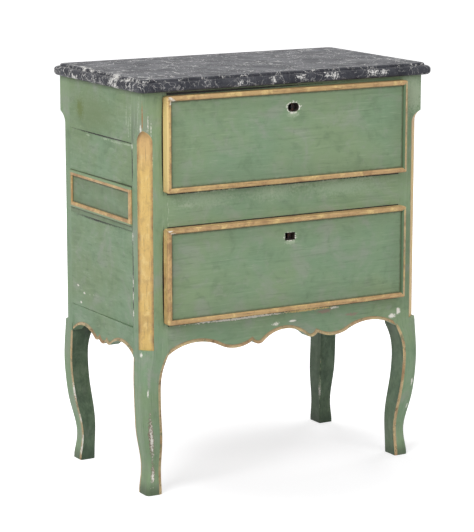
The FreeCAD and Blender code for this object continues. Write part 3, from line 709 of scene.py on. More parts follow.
def place_piece(bm, name, node, finishes, unbend=None):
    """Turns a bmesh into a finished piece that rides on its node's body and stands for the node."""
    bmesh.ops.recalc_face_normals(bm, faces=bm.faces)
    board = bm.verts.layers.float["board"]
    flow = bm.verts.layers.float_vector["flow"]
    number = sorted(frame["nodes"]).index(node)
    for vert in bm.verts:
        vert[board] = number
        vert[flow] = unbend(vert.co) if unbend else vert.co
    for item in (*bm.faces, *bm.edges):
        item.smooth = True
    mesh = bpy.data.meshes.new(name)
    bm.to_mesh(mesh)
    bm.free()
    if "custom_normal" in mesh.attributes:
        mesh.attributes.remove(mesh.attributes["custom_normal"])
    for material in finishes:
        mesh.materials.append(material)
    mesh.set_sharp_from_angle(angle=SHARP_TURN * 2)
    piece = bpy.data.objects.new(name, mesh)
    bpy.context.scene.collection.objects.link(piece)
    normals = piece.modifiers.new("flat_faces", "WEIGHTED_NORMAL")
    normals.keep_sharp = True
    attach(piece, frame["nodes"][node]["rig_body"])
    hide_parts(node)


def make_board(node, prefix, material, layer="arris", flush=None):
    """A plain board with softened edges."""
    bm = node_copy(node)
    soften(bm, sharp_edges(bm, flush), sizes().arris, layer=layer)
    place_piece(bm, f"{prefix}_{node}", node, [material])


def make_panel(node, end, flush):
    """Side panel that stands back from the front post and swells flush with the back one."""
    bm = node_copy(node)
    low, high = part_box(node)
    outer = (low, high)[end].x
    for vert in bm.verts:
        if abs(vert.co.x - outer) < MERGE and abs(vert.co.y - high.y) < MERGE:
            vert.co.x = side_face(end)
    soften(bm, sharp_edges(bm, flush), sizes().arris, layer="seam")
    place_piece(bm, f"painted_{node}", node, [paint_of(node, DEEP)])


def box_to_box(start, goal):
    """The move that takes one upright box to another."""
    (low, high), (new_low, new_high) = start, goal
    middle, new_middle = (low + high) / 2, (new_low + new_high) / 2
    span, new_span = high - low, new_high - new_low
    grow = Matrix.Diagonal([n / s if s > MERGE else 1.0 for n, s in zip(new_span, span)]).to_4x4()
    return Matrix.Translation(new_middle) @ grow @ Matrix.Translation(-middle)


def raise_ring(bm, face, boxes):
    """Extrudes a level face through a stack of level boxes and gives the vertices of every ring."""
    rings = [list(face.verts)]
    for before, after in zip(boxes, boxes[1:]):
        lifted = bmesh.ops.extrude_face_region(bm, geom=[face])["geom"]
        if len(rings) > 1:
            bmesh.ops.delete(bm, geom=[face], context="FACES_ONLY")
        face = next(item for item in lifted if isinstance(item, bmesh.types.BMFace))
        ring = [item for item in lifted if isinstance(item, bmesh.types.BMVert)]
        bmesh.ops.transform(bm, matrix=box_to_box(before, after), verts=ring)
        rings.append(ring)
    return rings


def plan_face(bm, box):
    """A level rectangle that fills the plan of a box."""
    made = bmesh.ops.create_grid(bm, x_segments=1, y_segments=1, size=0.5)["verts"]
    unit = (Vector((-0.5, -0.5, 0)), Vector((0.5, 0.5, 0)))
    bmesh.ops.transform(bm, matrix=box_to_box(unit, box), verts=made)
    return made


def corners_of(spots):
    """Lowest and highest corner of the box about some places."""
    return tuple(Vector([end(spot[axis] for spot in spots) for axis in range(3)]) for end in (min, max))


def level_section(node, height):
    """Lowest and highest corner of a node's level section."""
    bm = bmesh.new()
    bm.from_mesh(frame["nodes"][node].data)
    spots = [item.co.copy() for item in cut_level(bm, height) if isinstance(item, bmesh.types.BMVert)]
    bm.free()
    return corners_of(spots)


def smooth_share(value, low, high):
    share = min(1.0, max(0.0, (value - low) / (high - low)))
    return share * share * (3 - 2 * share)


def post_sides(node):
    """Whether a post stands on the left and whether it stands in front."""
    return "_left_" in node, node.startswith("front_")


def leg_boxes(node, collar, way):
    """Level boxes of a leg from the sole to the collar, drawn out to meet the aprons."""
    left, front = post_sides(node)
    aprons = [("left_apron", DEEP, front)]
    if front:
        aprons.append(("front_apron", ACROSS, left))
    joints = []
    for apron, axis, starts in aprons:
        low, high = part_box(apron)
        joints.append((axis, int(starts), (low if starts else high)[axis], low.z))
    count = round(collar / way.ring_rise)
    heights = {collar * step / count for step in range(1, count)} | {joint for *rest, joint in joints}
    heights = [0.0, *sorted(heights), collar]
    boxes = []
    for height in heights:
        box = level_section(node, min(max(height, LAP), collar - LAP))
        for corner in box:
            corner.z = height
        boxes.append(box)
    for axis, side, target, joint in joints:
        miss = target - boxes[heights.index(joint)][side][axis]
        swell = (1 if side else -1) * way.leg_swell if axis == DEEP else 0.0
        for box, height in zip(boxes, heights):
            share = smooth_share(height, joint - way.leg_blend, joint)
            box[side][axis] += miss * share + swell * (1 - share)
            if height > joint:
                box[side][axis] = target
    return boxes


def nearest(verts, place, count=1):
    return sorted(verts, key=lambda vert: (vert.co - place).length)[:count]


def add_leg(bm, node, boxes, way):
    """Cabriole leg of a post: rings from the sole to the collar, with gilded inner arrises."""
    inner_x, inner_y = (int(side) for side in post_sides(node))
    outer_x, outer_y = 1 - inner_x, 1 - inner_y
    gilded = [(outer_x, inner_y, DEEP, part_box("left_apron")[0].z)]
    if inner_y:
        gilded.append((inner_x, outer_y, ACROSS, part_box("front_apron")[0].z))

    def corner(box, side_x, side_y):
        return Vector((box[side_x].x, box[side_y].y, box[0].z))

    before = set(bm.faces)
    sole = boxes[0]
    verts = plan_face(bm, sole)
    outer = nearest(verts, corner(sole, outer_x, outer_y))
    inner = [nearest(verts, corner(sole, side_x, side_y))[0] for side_x, side_y, *rest in gilded]
    bevel(bm, outer, LEG_CORNER * (sole[1].x - sole[0].x), CORNER_STEPS, "VERTICES")
    bevel(bm, inner, way.gilt_edge, 1, "VERTICES")
    rings = raise_ring(bm, next(face for face in bm.faces if face not in before), boxes)
    heights = [box[0].z for box in boxes]
    chamfers = set()
    for ring, box in zip(rings, boxes):
        place = corner(box, outer_x, outer_y)
        grow = 1 + CORNER_GROWTH * smooth_share(place.z, ANKLE, heights[-1])
        reach = CORNER_REACH * (box[1] - box[0])
        for vert in ring:
            away = vert.co - place
            if abs(away.x) < reach.x and abs(away.y) < reach.y:
                vert.co = place + away * grow
        for side_x, side_y, axis, joint in gilded:
            place = corner(box, side_x, side_y)
            width = 1.0 if place.z < joint + MERGE else LEG_RUN_OUT
            for vert in nearest(ring, place, 2):
                on_face = abs(vert.co[1 - axis] - place[1 - axis]) < MERGE
                turn = axis if on_face else 1 - axis
                inward = -1 if place[turn] == box[1][turn] else 1
                vert.co = place
                vert.co[turn] += inward * width * (way.gilt_edge if on_face else way.leg_slope)
                if place.z < joint + way.ring_rise:
                    chamfers.add(vert)
    for face in bm.faces:
        if face in before:
            continue
        face.normal_update()
        middle = face.calc_center_median()
        box = boxes[min(range(len(boxes)), key=lambda index: abs(heights[index] - middle.z))]
        for axis, side in enumerate((inner_x, inner_y)):
            inside = abs(middle[axis] - box[side][axis]) < abs(middle[axis] - box[1 - side][axis])
            if inside and abs(face.normal[axis]) > FACING:
                # Inner faces of the leg take the green with painted shade.
                face.material_index = SHADED_INSIDE + axis
        if len(face.verts) == 4 and all(vert in chamfers for vert in face.verts):
            face.material_index = EDGE_GILT
    spots = [nearest(ring, corner(box, inner_x, inner_y))[0] for ring, box in zip(rings, boxes)]
    soften(bm, [bm.edges.get(pair) for pair in zip(spots, spots[1:])], way.post_arris)


def straightened(boxes):
    """The move that takes a place on a bent leg to the same place on a straight one."""

    def unbend(place):
        if place.z > boxes[-1][0].z:
            return place
        upper = next(index for index, box in enumerate(boxes) if box[0].z >= place.z - MERGE)
        above, below = boxes[upper], boxes[max(0, upper - 1)]
        rise = above[0].z - below[0].z
        share = (place.z - below[0].z) / rise if rise > MERGE else 0.0
        bent = [start.lerp(end, share) for start, end in zip(below, above)]
        straight = [Vector((*corner.xy, place.z)) for corner in boxes[-1]]
        return box_to_box(bent, straight) @ place

    return unbend


def side_face(end):
    """Where the outer face of the left side (0) or the right side (1) lies."""
    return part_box(f"{SIDES[end]}_apron")[end].x


def make_post(node, chamfer_gilt):
    """Corner post: its upper part with the gilded chamfer, and the leg below it."""
    way = sizes()
    collar = chamfer_foot(node)
    left, front = post_sides(node)
    end, row = int(not left), int(not front)
    bm = node_copy(node)
    foot = collar + 2 * LAP
    cut_level(bm, foot, clear_inner=True)
    bmesh.ops.contextual_create(bm, geom=[edge for edge in bm.edges if edge.is_boundary])
    sunk = [vert for vert in bm.verts if vert.co.z < foot + MERGE]
    bmesh.ops.translate(bm, vec=(0, 0, -3 * LAP), verts=sunk)
    panel_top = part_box("left_frieze")[0].z
    cut_level(bm, panel_top)
    for face in bm.faces:
        face.material_index = CHAMFER_GILT if is_slanted(face) else 0
    panel_corner = Vector((side_face(end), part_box("left_apron")[row].y))
    apron_corner = Vector((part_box("front_apron")[end].x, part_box("front_apron")[0].y))

    def runs_along(edge, corner):
        return all((vert.co.xy - corner).length < 5 * LAP for vert in edge.verts)

    def top(edge):
        return max(vert.co.z for vert in edge.verts)

    edges = [edge for edge in sharp_edges(bm) if top(edge) > collar + MERGE]
    joints = [edge for edge in edges if runs_along(edge, panel_corner)]
    arrises = [edge for edge in edges if edge not in joints and not runs_along(edge, apron_corner)]
    if front:
        seams = [edge for edge in joints if top(edge) < panel_top + MERGE]
        soften(bm, seams, way.arris, layer="seam")
        arrises = [edge for edge in arrises if edge.is_valid]
    soften(bm, arrises, way.post_arris)
    for face in bm.faces:
        if face.material_index == CHAMFER_GILT and not is_slanted(face):
            face.material_index = 0
    boxes = leg_boxes(node, collar, way)
    add_leg(bm, node, boxes, way)
    marks = inside_leg_marks()
    finishes = [
        paint_of(node, UPRIGHT),
        worn_gilt_along(UPRIGHT),
        chamfer_gilt,
        # The last two finishes are the green with painted shade for the inner faces of the legs.
        finish(green_paint, "green_inside_legs", UPRIGHT, marks, grime=0.76),
        finish(green_paint, "green_behind_legs", UPRIGHT, marks, grime=0.92),
    ]
    place_piece(bm, f"painted_{node}", node, finishes, straightened(boxes))


def is_slanted(face):
    """Whether a face of a post belongs to its stopped chamfer."""
    face.normal_update()
    return min(abs(face.normal.x), abs(face.normal.y)) > SLANTED


def chamfer_foot(node):
    """Height of the stop at the lower end of a post's chamfer."""
    bm = node_copy(node)
    low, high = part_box(node)
    slanted = [[vert.co.z for vert in face.verts] for face in bm.faces if is_slanted(face)]
    bm.free()
    return min(min(heights) for heights in slanted if max(heights) > (low.z + high.z) / 2)


def make_apron(node, axis, paint, gilt):
    """Scalloped board that faces along one axis and whose lower edge is a gilded chamfer."""
    way = sizes()
    bm = node_copy(node)
    low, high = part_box(node)
    outward = -1 if low[axis] + high[axis] < 0 else 1
    plane = low[axis] if outward < 0 else high[axis]
    run = 1 - axis
    front = max(bm.faces, key=lambda face: face.normal[axis] * outward * face.calc_area())
    lower_rim = {vert for vert in front.verts if vert.co.z < high.z - MERGE}
    band = bmesh.ops.inset_region(
        bm, faces=[front], thickness=way.apron_edge, depth=0.0, use_boundary=True, use_even_offset=True
    )["faces"]
    for face in band:
        edge = [vert for vert in face.verts if vert in lower_rim]
        if len(edge) == 2 and abs(edge[0].co[run] - edge[1].co[run]) > MERGE:
            face.material_index = EDGE_GILT
    rim = bm.verts.layers.float["rim"]
    for vert in lower_rim:
        at_post = min(vert.co[run] - low[run], high[run] - vert.co[run]) < MERGE
        vert.co[axis] = plane - outward * way.gilt_slope * (APRON_RUN_OUT if at_post else 1.0)
        vert[rim] = 1.0
    place_piece(bm, f"painted_{node}", node, [paint, gilt])


def frame_outlines(node):
    """Boxes of the outer and the inner outline of a moulding frame."""
    low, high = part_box(node)
    middle = (low + high) / 2
    spots = [vert.co - middle for vert in frame["nodes"][node].data.vertices]
    half = Vector((0, min(abs(spot.y) for spot in spots), min(abs(spot.z) for spot in spots)))
    return (low, high), (middle - half, middle + half)


def make_frame(node, end):
    """Gilt moulding frame of a side rail, one ring of four mitred strips."""
    bm = node_copy(node)
    inner = [face for face in bm.faces if all(len(edge.link_faces) > 2 for edge in face.edges)]
    bmesh.ops.delete(bm, geom=inner, context="FACES_ONLY")
    low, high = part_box(node)
    mark_rim(bm, ACROSS, (high, low)[end].x)
    middle, half = (low + high) / 2, (high - low) / 2
    for face in bm.faces:
        away = face.calc_center_median() - middle
        face.material_index = int(abs(away.y) / half.y > abs(away.z) / half.z)
    place_piece(bm, f"gilt_{node}", node, [gilt_along(DEEP), gilt_along(UPRIGHT)])


def clip_corners(bm, box, size):
    """Takes off the four upright corners of a drawer front, seen from the front."""
    low, high = box
    for x, way_x in ((low.x, -1), (high.x, 1)):
        for z, way_z in ((low.z, -1), (high.z, 1)):
            cut(bm, (x - way_x * size, 0, z), (way_x, 0, way_z), clear_outer=True)
            bmesh.ops.holes_fill(bm, edges=[edge for edge in bm.edges if edge.is_boundary])


def make_border(level, edge):
    """Gilt moulding along one edge of a drawer front."""
    node = f"{level}_drawer_border_{edge}"
    bm = node_copy(node)
    clip_corners(bm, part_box(f"{level}_drawer_front"), sizes().lip_corner)
    mark_rim(bm, DEEP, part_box(node)[1].y)
    gilt = faded_gilt() if edge == "right" else gilt_along(UPRIGHT if edge == "left" else ACROSS)
    place_piece(bm, f"gilt_{node}", node, [gilt])


def inside_borders(level):
    """The part of a drawer front that its four gilt strips leave free."""
    edges = ("left", "bottom", "right", "top")
    left, bottom, right, top = (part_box(f"{level}_drawer_border_{edge}") for edge in edges)
    return Vector((left[1].x, 0, bottom[1].z)), Vector((right[0].x, 0, top[0].z))


def make_drawer_front(level):
    """Drawer front with gilded edges, an undercut lip and a worn keyhole."""
    way = sizes()
    node = f"{level}_drawer_front"
    bm = node_copy(node)
    low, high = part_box(node)
    clip_corners(bm, (low, high), way.lip_corner)

    def at_rim(place):
        gap = min(place.x - low.x, high.x - place.x, place.z - low.z, high.z - place.z)
        return gap < way.lip_corner

    for face in bm.faces:
        face.normal_update()
        if abs(face.normal.y) < LEANING:
            gilt = UPRIGHT_GILT if abs(face.normal.x) > LEANING else LEVEL_GILT
            # Keyhole walls take the near-black finish of dirt and painted shade.
            face.material_index = gilt if at_rim(face.calc_center_median()) else SHADED_HOLLOW
        elif face.normal.y > 0:
            face.material_index = BACK
    behind = [edge for edge in bm.edges if runs_in(edge, DEEP, high.y)]
    lip = [edge for edge in behind if all(at_rim(vert.co) for vert in edge.verts)]
    # The undercut behind the lip takes the same finish of dirt and painted shade.
    soften(bm, lip, way.lip_undercut, 1, SHADED_HOLLOW)
    before = [edge for edge in bm.edges if runs_in(edge, DEEP, low.y)]
    hole = [edge for edge in before if not any(at_rim(vert.co) for vert in edge.verts)]
    keyhole = corners_of([vert.co.copy() for edge in hole for vert in edge.verts])
    soften(bm, hole, way.arris)
    # The gilt edges darken towards the gap behind the lip: painted shade with dirt.
    mark_rim(bm, DEEP, high.y - way.lip_undercut)
    finishes = [
        finish(green_paint, f"green_{node}", ACROSS, keyhole_marks(*keyhole), [inside_borders(level)]),
        gilt_along(ACROSS),
        gilt_along(UPRIGHT),
        finish(dirty_hollow, "dirty_hollow"),
        pine_along(ACROSS),
    ]
    place_piece(bm, f"painted_{node}", node, finishes)


def make_slab(node):
    """Marble top: a bullnose layer, a step and a thinner layer, with dents along the edge."""
    way = sizes()
    low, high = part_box(node)
    nose, rise, step, upper = way.slab_nose, way.slab_rise, way.slab_step, way.slab_edge
    top = high.z - low.z
    turns = [math.radians(15 * index) for index in range(7)]
    quarter = [(1 - math.sin(turn), 1 - math.cos(turn)) for turn in turns]
    profile = [(nose * fall, nose * turned) for fall, turned in quarter]
    profile += [(nose * turned, rise - nose * fall) for fall, turned in quarter]
    profile += [(step, rise), (step, top - upper)]
    profile += [(step + upper * turned, top - upper * fall) for fall, turned in quarter[1:]]
    boxes = []
    for inset, height in profile:
        start = Vector((low.x + inset, low.y + inset, low.z + height))
        boxes.append((start, Vector((high.x - inset, high.y - inset, low.z + height))))
    bm = bmesh.new()
    add_layers(bm)
    bevel(bm, plan_face(bm, boxes[0]), way.slab_corner, SLAB_STEPS, "VERTICES")
    bm.faces.ensure_lookup_table()
    long_edges = [edge for edge in bm.edges if edge.calc_length() > LONG_EDGE]
    bmesh.ops.subdivide_edges(bm, edges=long_edges, cuts=EDGE_CUTS)
    arris = bm.verts.layers.float["arris"]
    for ring in raise_ring(bm, bm.faces[0], boxes)[1:-1]:
        for vert in ring:
            dent = max(0.0, noise.fractal(vert.co * DENT_SCALE, 1.0, 2.0, 4) - DENT_LEVEL)
            inward = Vector((vert.co.x / high.x, vert.co.y / high.y, 0)).normalized()
            vert.co -= inward * dent * way.slab_wear
            vert[arris] = dent
    place_piece(bm, f"marble_{node}", node, [finish(dark_marble, "dark_marble")])


def face_marks(axis, face, rows, look=(), deep=0.004, start=0.0, bottom=0.0):
    """Marks on a face square to one level axis, each row as (run, height, half width, half height, colour,
    raggedness, solid share); the rows leave out at their end the look that they share."""
    marks = []
    for row in rows:
        run, height, wide, tall, *own = (*row, *look)
        place, reach = [start + run, bottom + height], [wide, tall]
        place.insert(axis, face)
        reach.insert(axis, deep)
        marks.append((place, reach, *own))
    return marks


def gap_line(node, height):
    """A long even shadow across the front of a board."""
    low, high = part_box(node)
    return face_marks(DEEP, low.y, [(0, height, 3 * high.x, 0.0018, "hollow", 0.7, 0.5)])


def border_marks():
    """White flecks at the upper left corner of each drawer's gilding, and one strip that stayed bright."""
    low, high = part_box("upper_drawer_border_left")
    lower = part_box("lower_drawer_border_left")[1].z
    span = high - low
    rows = [
        (0.0070, high.z - 0.0040, 0.0050, 0.0040),
        (0.0130, high.z - 0.0080, 0.0050, 0.0030),
        (0.0080, high.z - 0.0130, 0.0030, 0.0050),
        (0.0050, lower - 0.0030, 0.0060, 0.0018),
        (0.0110, lower - 0.0078, 0.0060, 0.0016),
    ]
    bright = [(0, 0.5 * span.z, 0.65 * span.x, 0.7 * span.z, "gilt_pale", 1.0, 0.4)]
    return [
        *face_marks(DEEP, high.y, bright, deep=0.03, start=low.x, bottom=low.z),
        *face_marks(DEEP, low.y, rows, ("gesso", 4.0, 0.1), deep=0.006, start=low.x),
    ]


def moulding_marks():
    """Paint over the outer parts of three strips of the left moulding frame."""
    (low, high), (inner_low, inner_high) = frame_outlines("left_moulding_frame")
    middle, span = (low + high) / 2, high - low
    back, level = 0.92 * (high.y - inner_high.y), 0.45 * (inner_low.z - low.z)
    rows = [
        (high.y, middle.z, back, 2 * span.z),
        (middle.y, low.z, 2 * span.y, level),
        (middle.y, high.z, 2 * span.y, level),
    ]
    return face_marks(ACROSS, low.x, rows, ("paint_warm", 0.3, 0.8), deep=0.01)


def slab_marks():
    """White clusters along the front edge of the slab."""
    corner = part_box("top_slab")[0]
    rows = [
        (-0.108, 0.009, 0.006, 0.005),
        (-0.038, 0.010, 0.005, 0.006),
        (0.020, 0.013, 0.010, 0.005),
        (0.079, 0.014, 0.007, 0.005),
        (0.095, 0.011, 0.009, 0.007),
        (0.180, 0.012, 0.013, 0.006),
        (0.205, 0.010, 0.009, 0.005),
    ]
    return face_marks(DEEP, corner.y, rows, ("vein", 8.0, 0.0), deep=0.008, bottom=corner.z)


def front_left_marks():
    """Chips, bare patches and dark joints of the front left post and its leg, and painted shadow lines beside
    the drawers.
    """
    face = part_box("front_apron")[0].y
    side = side_face(0)
    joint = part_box("left_lower_panel")[0].y
    corner = [
        (0.013, 0.202, 0.0026, 0.008, "gesso", 3.0, 0.4),
        (0.015, 0.228, 0.0060, 0.028, "paint_grey", 3.4, 0.2),
        (0.016, 0.114, 0.0084, 0.048, "gilt_dark", 2.6, 0.6),
        (0.0165, 0.114, 0.0074, 0.045, "bare", 2.8, 0.6),
        (0.0165, 0.110, 0.0058, 0.044, "gesso", 4.6, 0.0),
        (0.017, 0.041, 0.0080, 0.024, "gilt_dark", 2.8, 0.5),
        (0.0175, 0.041, 0.0070, 0.022, "bare", 3.0, 0.5),
        (0.0165, 0.036, 0.0062, 0.019, "gesso", 5.0, 0.0),
    ]
    streaks = [(0.017, 0.71, 0.030), (0.012, 0.73, 0.022), (0.028, 0.70, 0.026), (0.034, 0.68, 0.018)]
    chips = [(0.488, 0.008), (0.404, 0.014), (0.378, 0.012), (0.345, 0.009), (0.655, 0.006)]
    marks = [
        *face_marks(DEEP, face + 0.002, corner, deep=0.012, start=side),
        ((side, face, 0.712), (0.0024, 0.0024, 0.034), "gilt_brown", 1.4, 0.5),
        ((side, face + 0.006, 0.688), (0.005, 0.004, 0.012), "gesso", 2.6, 0.4),
        ((side + 0.002, face + 0.012, 0.272), (0.0036, 0.004, 0.0062), "gesso", 1.8, 0.5),
    ]
    for away, z, tall in streaks:
        marks.append(((side, face + away, z), (0.003, 0.0026, tall), "paint_pale", 3.6, 0.1))
    for away, z in ((0.012, 0.70), (0.018, 0.688), (0.010, 0.675)):
        marks.append(((side + away, face, z), (0.0011, 0.003, 0.016), "gesso", 4.2, 0.0))
    for level in LEVELS:
        low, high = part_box(f"left_{level}_panel")
        tall = 0.54 * (high.z - low.z)
        centre = (side, low.y - 0.0004, (low.z + high.z) / 2)
        marks.append((centre, (0.003, 0.0046, tall), "hollow", 1.2, 0.6))
    for z, tall in chips:
        marks.append(((side, joint - 0.0016, z), (0.003, 0.0030, tall), "gesso", 3.6, 0.1))
    # Painted shadow lines on the post beside the left edges of the drawers.
    for level in LEVELS:
        low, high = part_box(f"{level}_drawer_front")
        tall = 0.56 * (high.z - low.z)
        centre = (low.x + 0.0005, face, (low.z + high.z) / 2)
        marks.append((centre, (0.0036, 0.004, tall), "hollow", 0.3, 0.75))
    return marks


def inside_leg_marks():
    """Rubbed inner arris of the back right leg."""
    node = "back_right_post"
    inner = level_section(node, chamfer_foot(node) - LAP)[0]
    rows = [(0.125, 0.020, "paint_deep"), (0.078, 0.026, "paint_pale"), (0.070, 0.016, "gesso")]
    return [((inner.x, inner.y, z), (0.006, 0.006, tall), tint, 3.0, 0.1) for z, tall, tint in rows]


def leg_marks():
    """Chips of the gilt lines of the legs, near the soles."""
    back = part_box("left_apron")[1].y
    rows = [(0.040, 0.015, 2.2), (0.022, 0.012, 2.6), (0.085, 0.012, 4.0), (0.140, 0.016, 4.4)]
    return [((side_face(0), back, z), (0.008, 0.008, tall), "gesso", ragged, 0.3) for z, tall, ragged in rows]


def apron_marks():
    """Chips and scuffs of the front apron, and the shadow under the lower drawer."""
    rows = [
        (0.0166, 0.3027, 0.0110, 0.0030, "gesso", 0.5),
        (0.2425, 0.2874, 0.0095, 0.0070, "gesso", 1.0),
        (0.0387, 0.3220, 0.009, 0.0016, "gesso", 2.2),
        (0.0882, 0.3143, 0.022, 0.005, "bare", 3.4),
        (0.1100, 0.3190, 0.010, 0.003, "gesso", 3.0),
        (0.1500, 0.3010, 0.018, 0.004, "bare", 3.4),
        (-0.0900, 0.3208, 0.110, 0.0024, "gesso", 3.4),
        (0.0500, 0.3208, 0.060, 0.0022, "gilt_pale", 2.8),
        (-0.1747, 0.3222, 0.012, 0.0016, "gesso", 2.0),
        (-0.0200, 0.3010, 0.010, 0.004, "gesso", 3.4),
    ]
    shadow = gap_line("front_apron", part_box("lower_drawer_front")[0].z - 0.0036)
    return shadow + face_marks(DEEP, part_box("front_apron")[0].y, rows, (0.6,))


def right_post_marks():
    """A painted highlight patch where the drawer's shadow falls, and chips of the front right post."""
    rows = [
        # The first row is a painted highlight that lightens the drawer's shadow on the post.
        (0.2850, 0.7220, 0.0340, 0.0500, "paint_pale", 2.0, 0.2),
        (0.2545, 0.2964, 0.0085, 0.0080, "gesso", 1.0, 0.6),
        (0.2885, 0.1500, 0.0030, 0.0080, "gesso", 2.4, 0.6),
        (0.2890, 0.1000, 0.0020, 0.0060, "gesso", 2.4, 0.6),
    ]
    return face_marks(DEEP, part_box("front_apron")[0].y, rows, deep=0.02)


def lower_panel_marks():
    """Painted shadow under the middle rail, drops of plaster and dust of the left lower panel."""
    low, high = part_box("left_lower_panel")
    joint = (0.03, high.z - 0.002, 0.12, 0.0034)
    drops = [(y, z, 0.0062, 0.0034) for y, z in ((0.109, 0.3568), (0.083, 0.3457), (0.0967, 0.3255))]
    dust = [(y, z, 0.006, 0.0022) for y, z in ((0.060, 0.347), (0.045, 0.349), (0.033, 0.350))]
    return [
        # The joint row is painted shadow under the middle rail.
        *face_marks(ACROSS, low.x, [joint], ("seam", 1.8, 0.2), deep=0.008),
        *face_marks(ACROSS, low.x, drops, ("gesso", 0.8, 0.6), deep=0.006),
        *face_marks(ACROSS, low.x, dust, ("paint_pale", 3.0, 0.2), deep=0.006),
    ]


def frieze_marks():
    """Yellowed stain of the left frieze and scuffs by the post."""
    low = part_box("left_frieze")[0]
    yellowed = [
        (0.0300, 0.700, 0.140, 0.055, "paint_moss", 1.6, 0.0),
        (0.0896, 0.702, 0.021, 0.028, "stain", 1.8, 0.2),
    ]
    scuffs = [(0.004, 0.700, 0.0026, 0.034), (0.012, 0.690, 0.0026, 0.026), (0.020, 0.704, 0.0026, 0.022)]
    return [
        *face_marks(ACROSS, low.x, yellowed, deep=0.02),
        *face_marks(ACROSS, low.x, scuffs, ("paint_pale", 3.6, 0.1), deep=0.003, start=low.y),
    ]


def upper_panel_marks():
    """Painted shadow along the joint with the left frieze, and scuffs below it."""
    low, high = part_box("left_upper_panel")
    joint = (0.0, -0.001, 0.16, 0.0030)
    scuffs = [
        (-0.100, -0.006, 0.022, 0.0026),
        (-0.056, -0.007, 0.030, 0.0026),
        (-0.010, -0.006, 0.020, 0.0026),
        (0.060, -0.007, 0.010, 0.0026),
    ]
    return [
        # The first row is painted shadow under the overhang of the frieze.
        *face_marks(ACROSS, low.x, [joint], ("hollow", 1.2, 0.4), deep=0.008, bottom=high.z),
        *face_marks(ACROSS, low.x, scuffs, ("paint_pale", 4.0, 0.2), deep=0.006, bottom=high.z),
    ]


def keyhole_marks(low, high):
    """Worn rim of a keyhole whose outline lies between two corners."""
    middle, half = (low + high) / 2, (high - low) / 2
    rows = [
        (middle.x, low.z - half.z * 0.6, half.x * 1.5, half.z * 0.9, "paint_pale", 2.4, 0.2),
        (middle.x, middle.z, half.x * 1.36, half.z * 1.4, "gesso", 2.2, 0.66),
    ]
    return face_marks(DEEP, middle.y, rows, deep=0.01)


def top_rail_marks():
    """Painted shadow in the gap between the slab and the upper drawer, thinner to the right."""
    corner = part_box("front_top_rail")[0]
    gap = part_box("upper_drawer_front")[1].z + 0.003
    rows = [(0.0, gap, 0.42, 0.0018), (0.1, gap, 0.20, 0.0026), (0.0, gap, 0.14, 0.0030)]
    return face_marks(DEEP, corner.y, rows, ("hollow", 0.8, 0.6), start=corner.x)


def rail_marks():
    """Painted shadows along the middle rail, specks at its left joint, painted highlight bands and scuffs
    under the drawer.
    """
    node = "front_middle_rail"
    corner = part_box(node)[0]
    specks = [
        (0.002, 0.512, 0.0012, 0.004),
        (0.001, 0.524, 0.0012, 0.006),
        (0.003, 0.538, 0.0012, 0.008),
        (0.001, 0.551, 0.0012, 0.005),
    ]
    bands = [(0.08, 0.553, 0.09, 0.022), (0.22, 0.553, 0.07, 0.022), (0.38, 0.553, 0.12, 0.022)]
    scuffs = [
        (0.043, 0.545, 0.022, 0.006),
        (0.065, 0.566, 0.018, 0.002),
        (0.105, 0.567, 0.022, 0.002),
        (0.134, 0.567, 0.024, 0.003),
        (0.222, 0.555, 0.007, 0.009),
        (0.282, 0.563, 0.024, 0.004),
        (0.350, 0.566, 0.030, 0.003),
        (0.430, 0.564, 0.026, 0.004),
    ]
    return [
        *gap_line(node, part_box("upper_drawer_front")[0].z - 0.0039),
        *gap_line(node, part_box("lower_drawer_front")[1].z + 0.0008),
        *face_marks(DEEP, corner.y, specks, ("paint_pale", 3.6, 0.2), start=corner.x),
        # Painted highlight bands under the upper drawer.
        *face_marks(DEEP, corner.y, bands, ("paint_light", 2.2, 0.0), deep=0.008, start=corner.x),
        *face_marks(DEEP, corner.y, scuffs, ("paint_pale", 3.4, 0.0), start=corner.x),
    ]


MARKS_OF = {
    "front_left_post": front_left_marks,
    "front_right_post": right_post_marks,
    "front_top_rail": top_rail_marks,
    "front_middle_rail": rail_marks,
    "front_apron": apron_marks,
    "left_frieze": frieze_marks,
    "left_upper_panel": upper_panel_marks,
    "left_lower_panel": lower_panel_marks,
}


class ChestOperator:
    """What the operators of the chest have in common."""

    bl_options = {"REGISTER"}


class CHEST_OT_slab(ChestOperator, bpy.types.Operator):
    """Make the marble top"""

    bl_idname = "chest.slab"
    bl_label = "Marble Top"

    def execute(self, context):
        make_slab("top_slab")
        return {"FINISHED"}


class CHEST_OT_posts(ChestOperator, bpy.types.Operator):
    """Make the four corner posts with their cabriole legs"""

    bl_idname = "chest.posts"
    bl_label = "Posts and Legs"

    def execute(self, context):
        chamfer_gilt = finish(gilding, "gilt_chamfer", UPRIGHT, "gilt", 0.32, on_chamfer=True)
        for row in ("front", "back"):
            for side in SIDES:
                make_post(f"{row}_{side}_post", chamfer_gilt)
        return {"FINISHED"}


class CHEST_OT_front(ChestOperator, bpy.types.Operator):
    """Make the rails and the scalloped apron of the front"""

    bl_idname = "chest.front"
    bl_label = "Front Rails and Apron"

    def execute(self, context):
        for node in ("front_top_rail", "front_middle_rail"):
            make_board(node, "painted", paint_of(node, ACROSS), "seam")
        make_apron("front_apron", DEEP, paint_of("front_apron", ACROSS), worn_gilt_along(ACROSS))
        return {"FINISHED"}


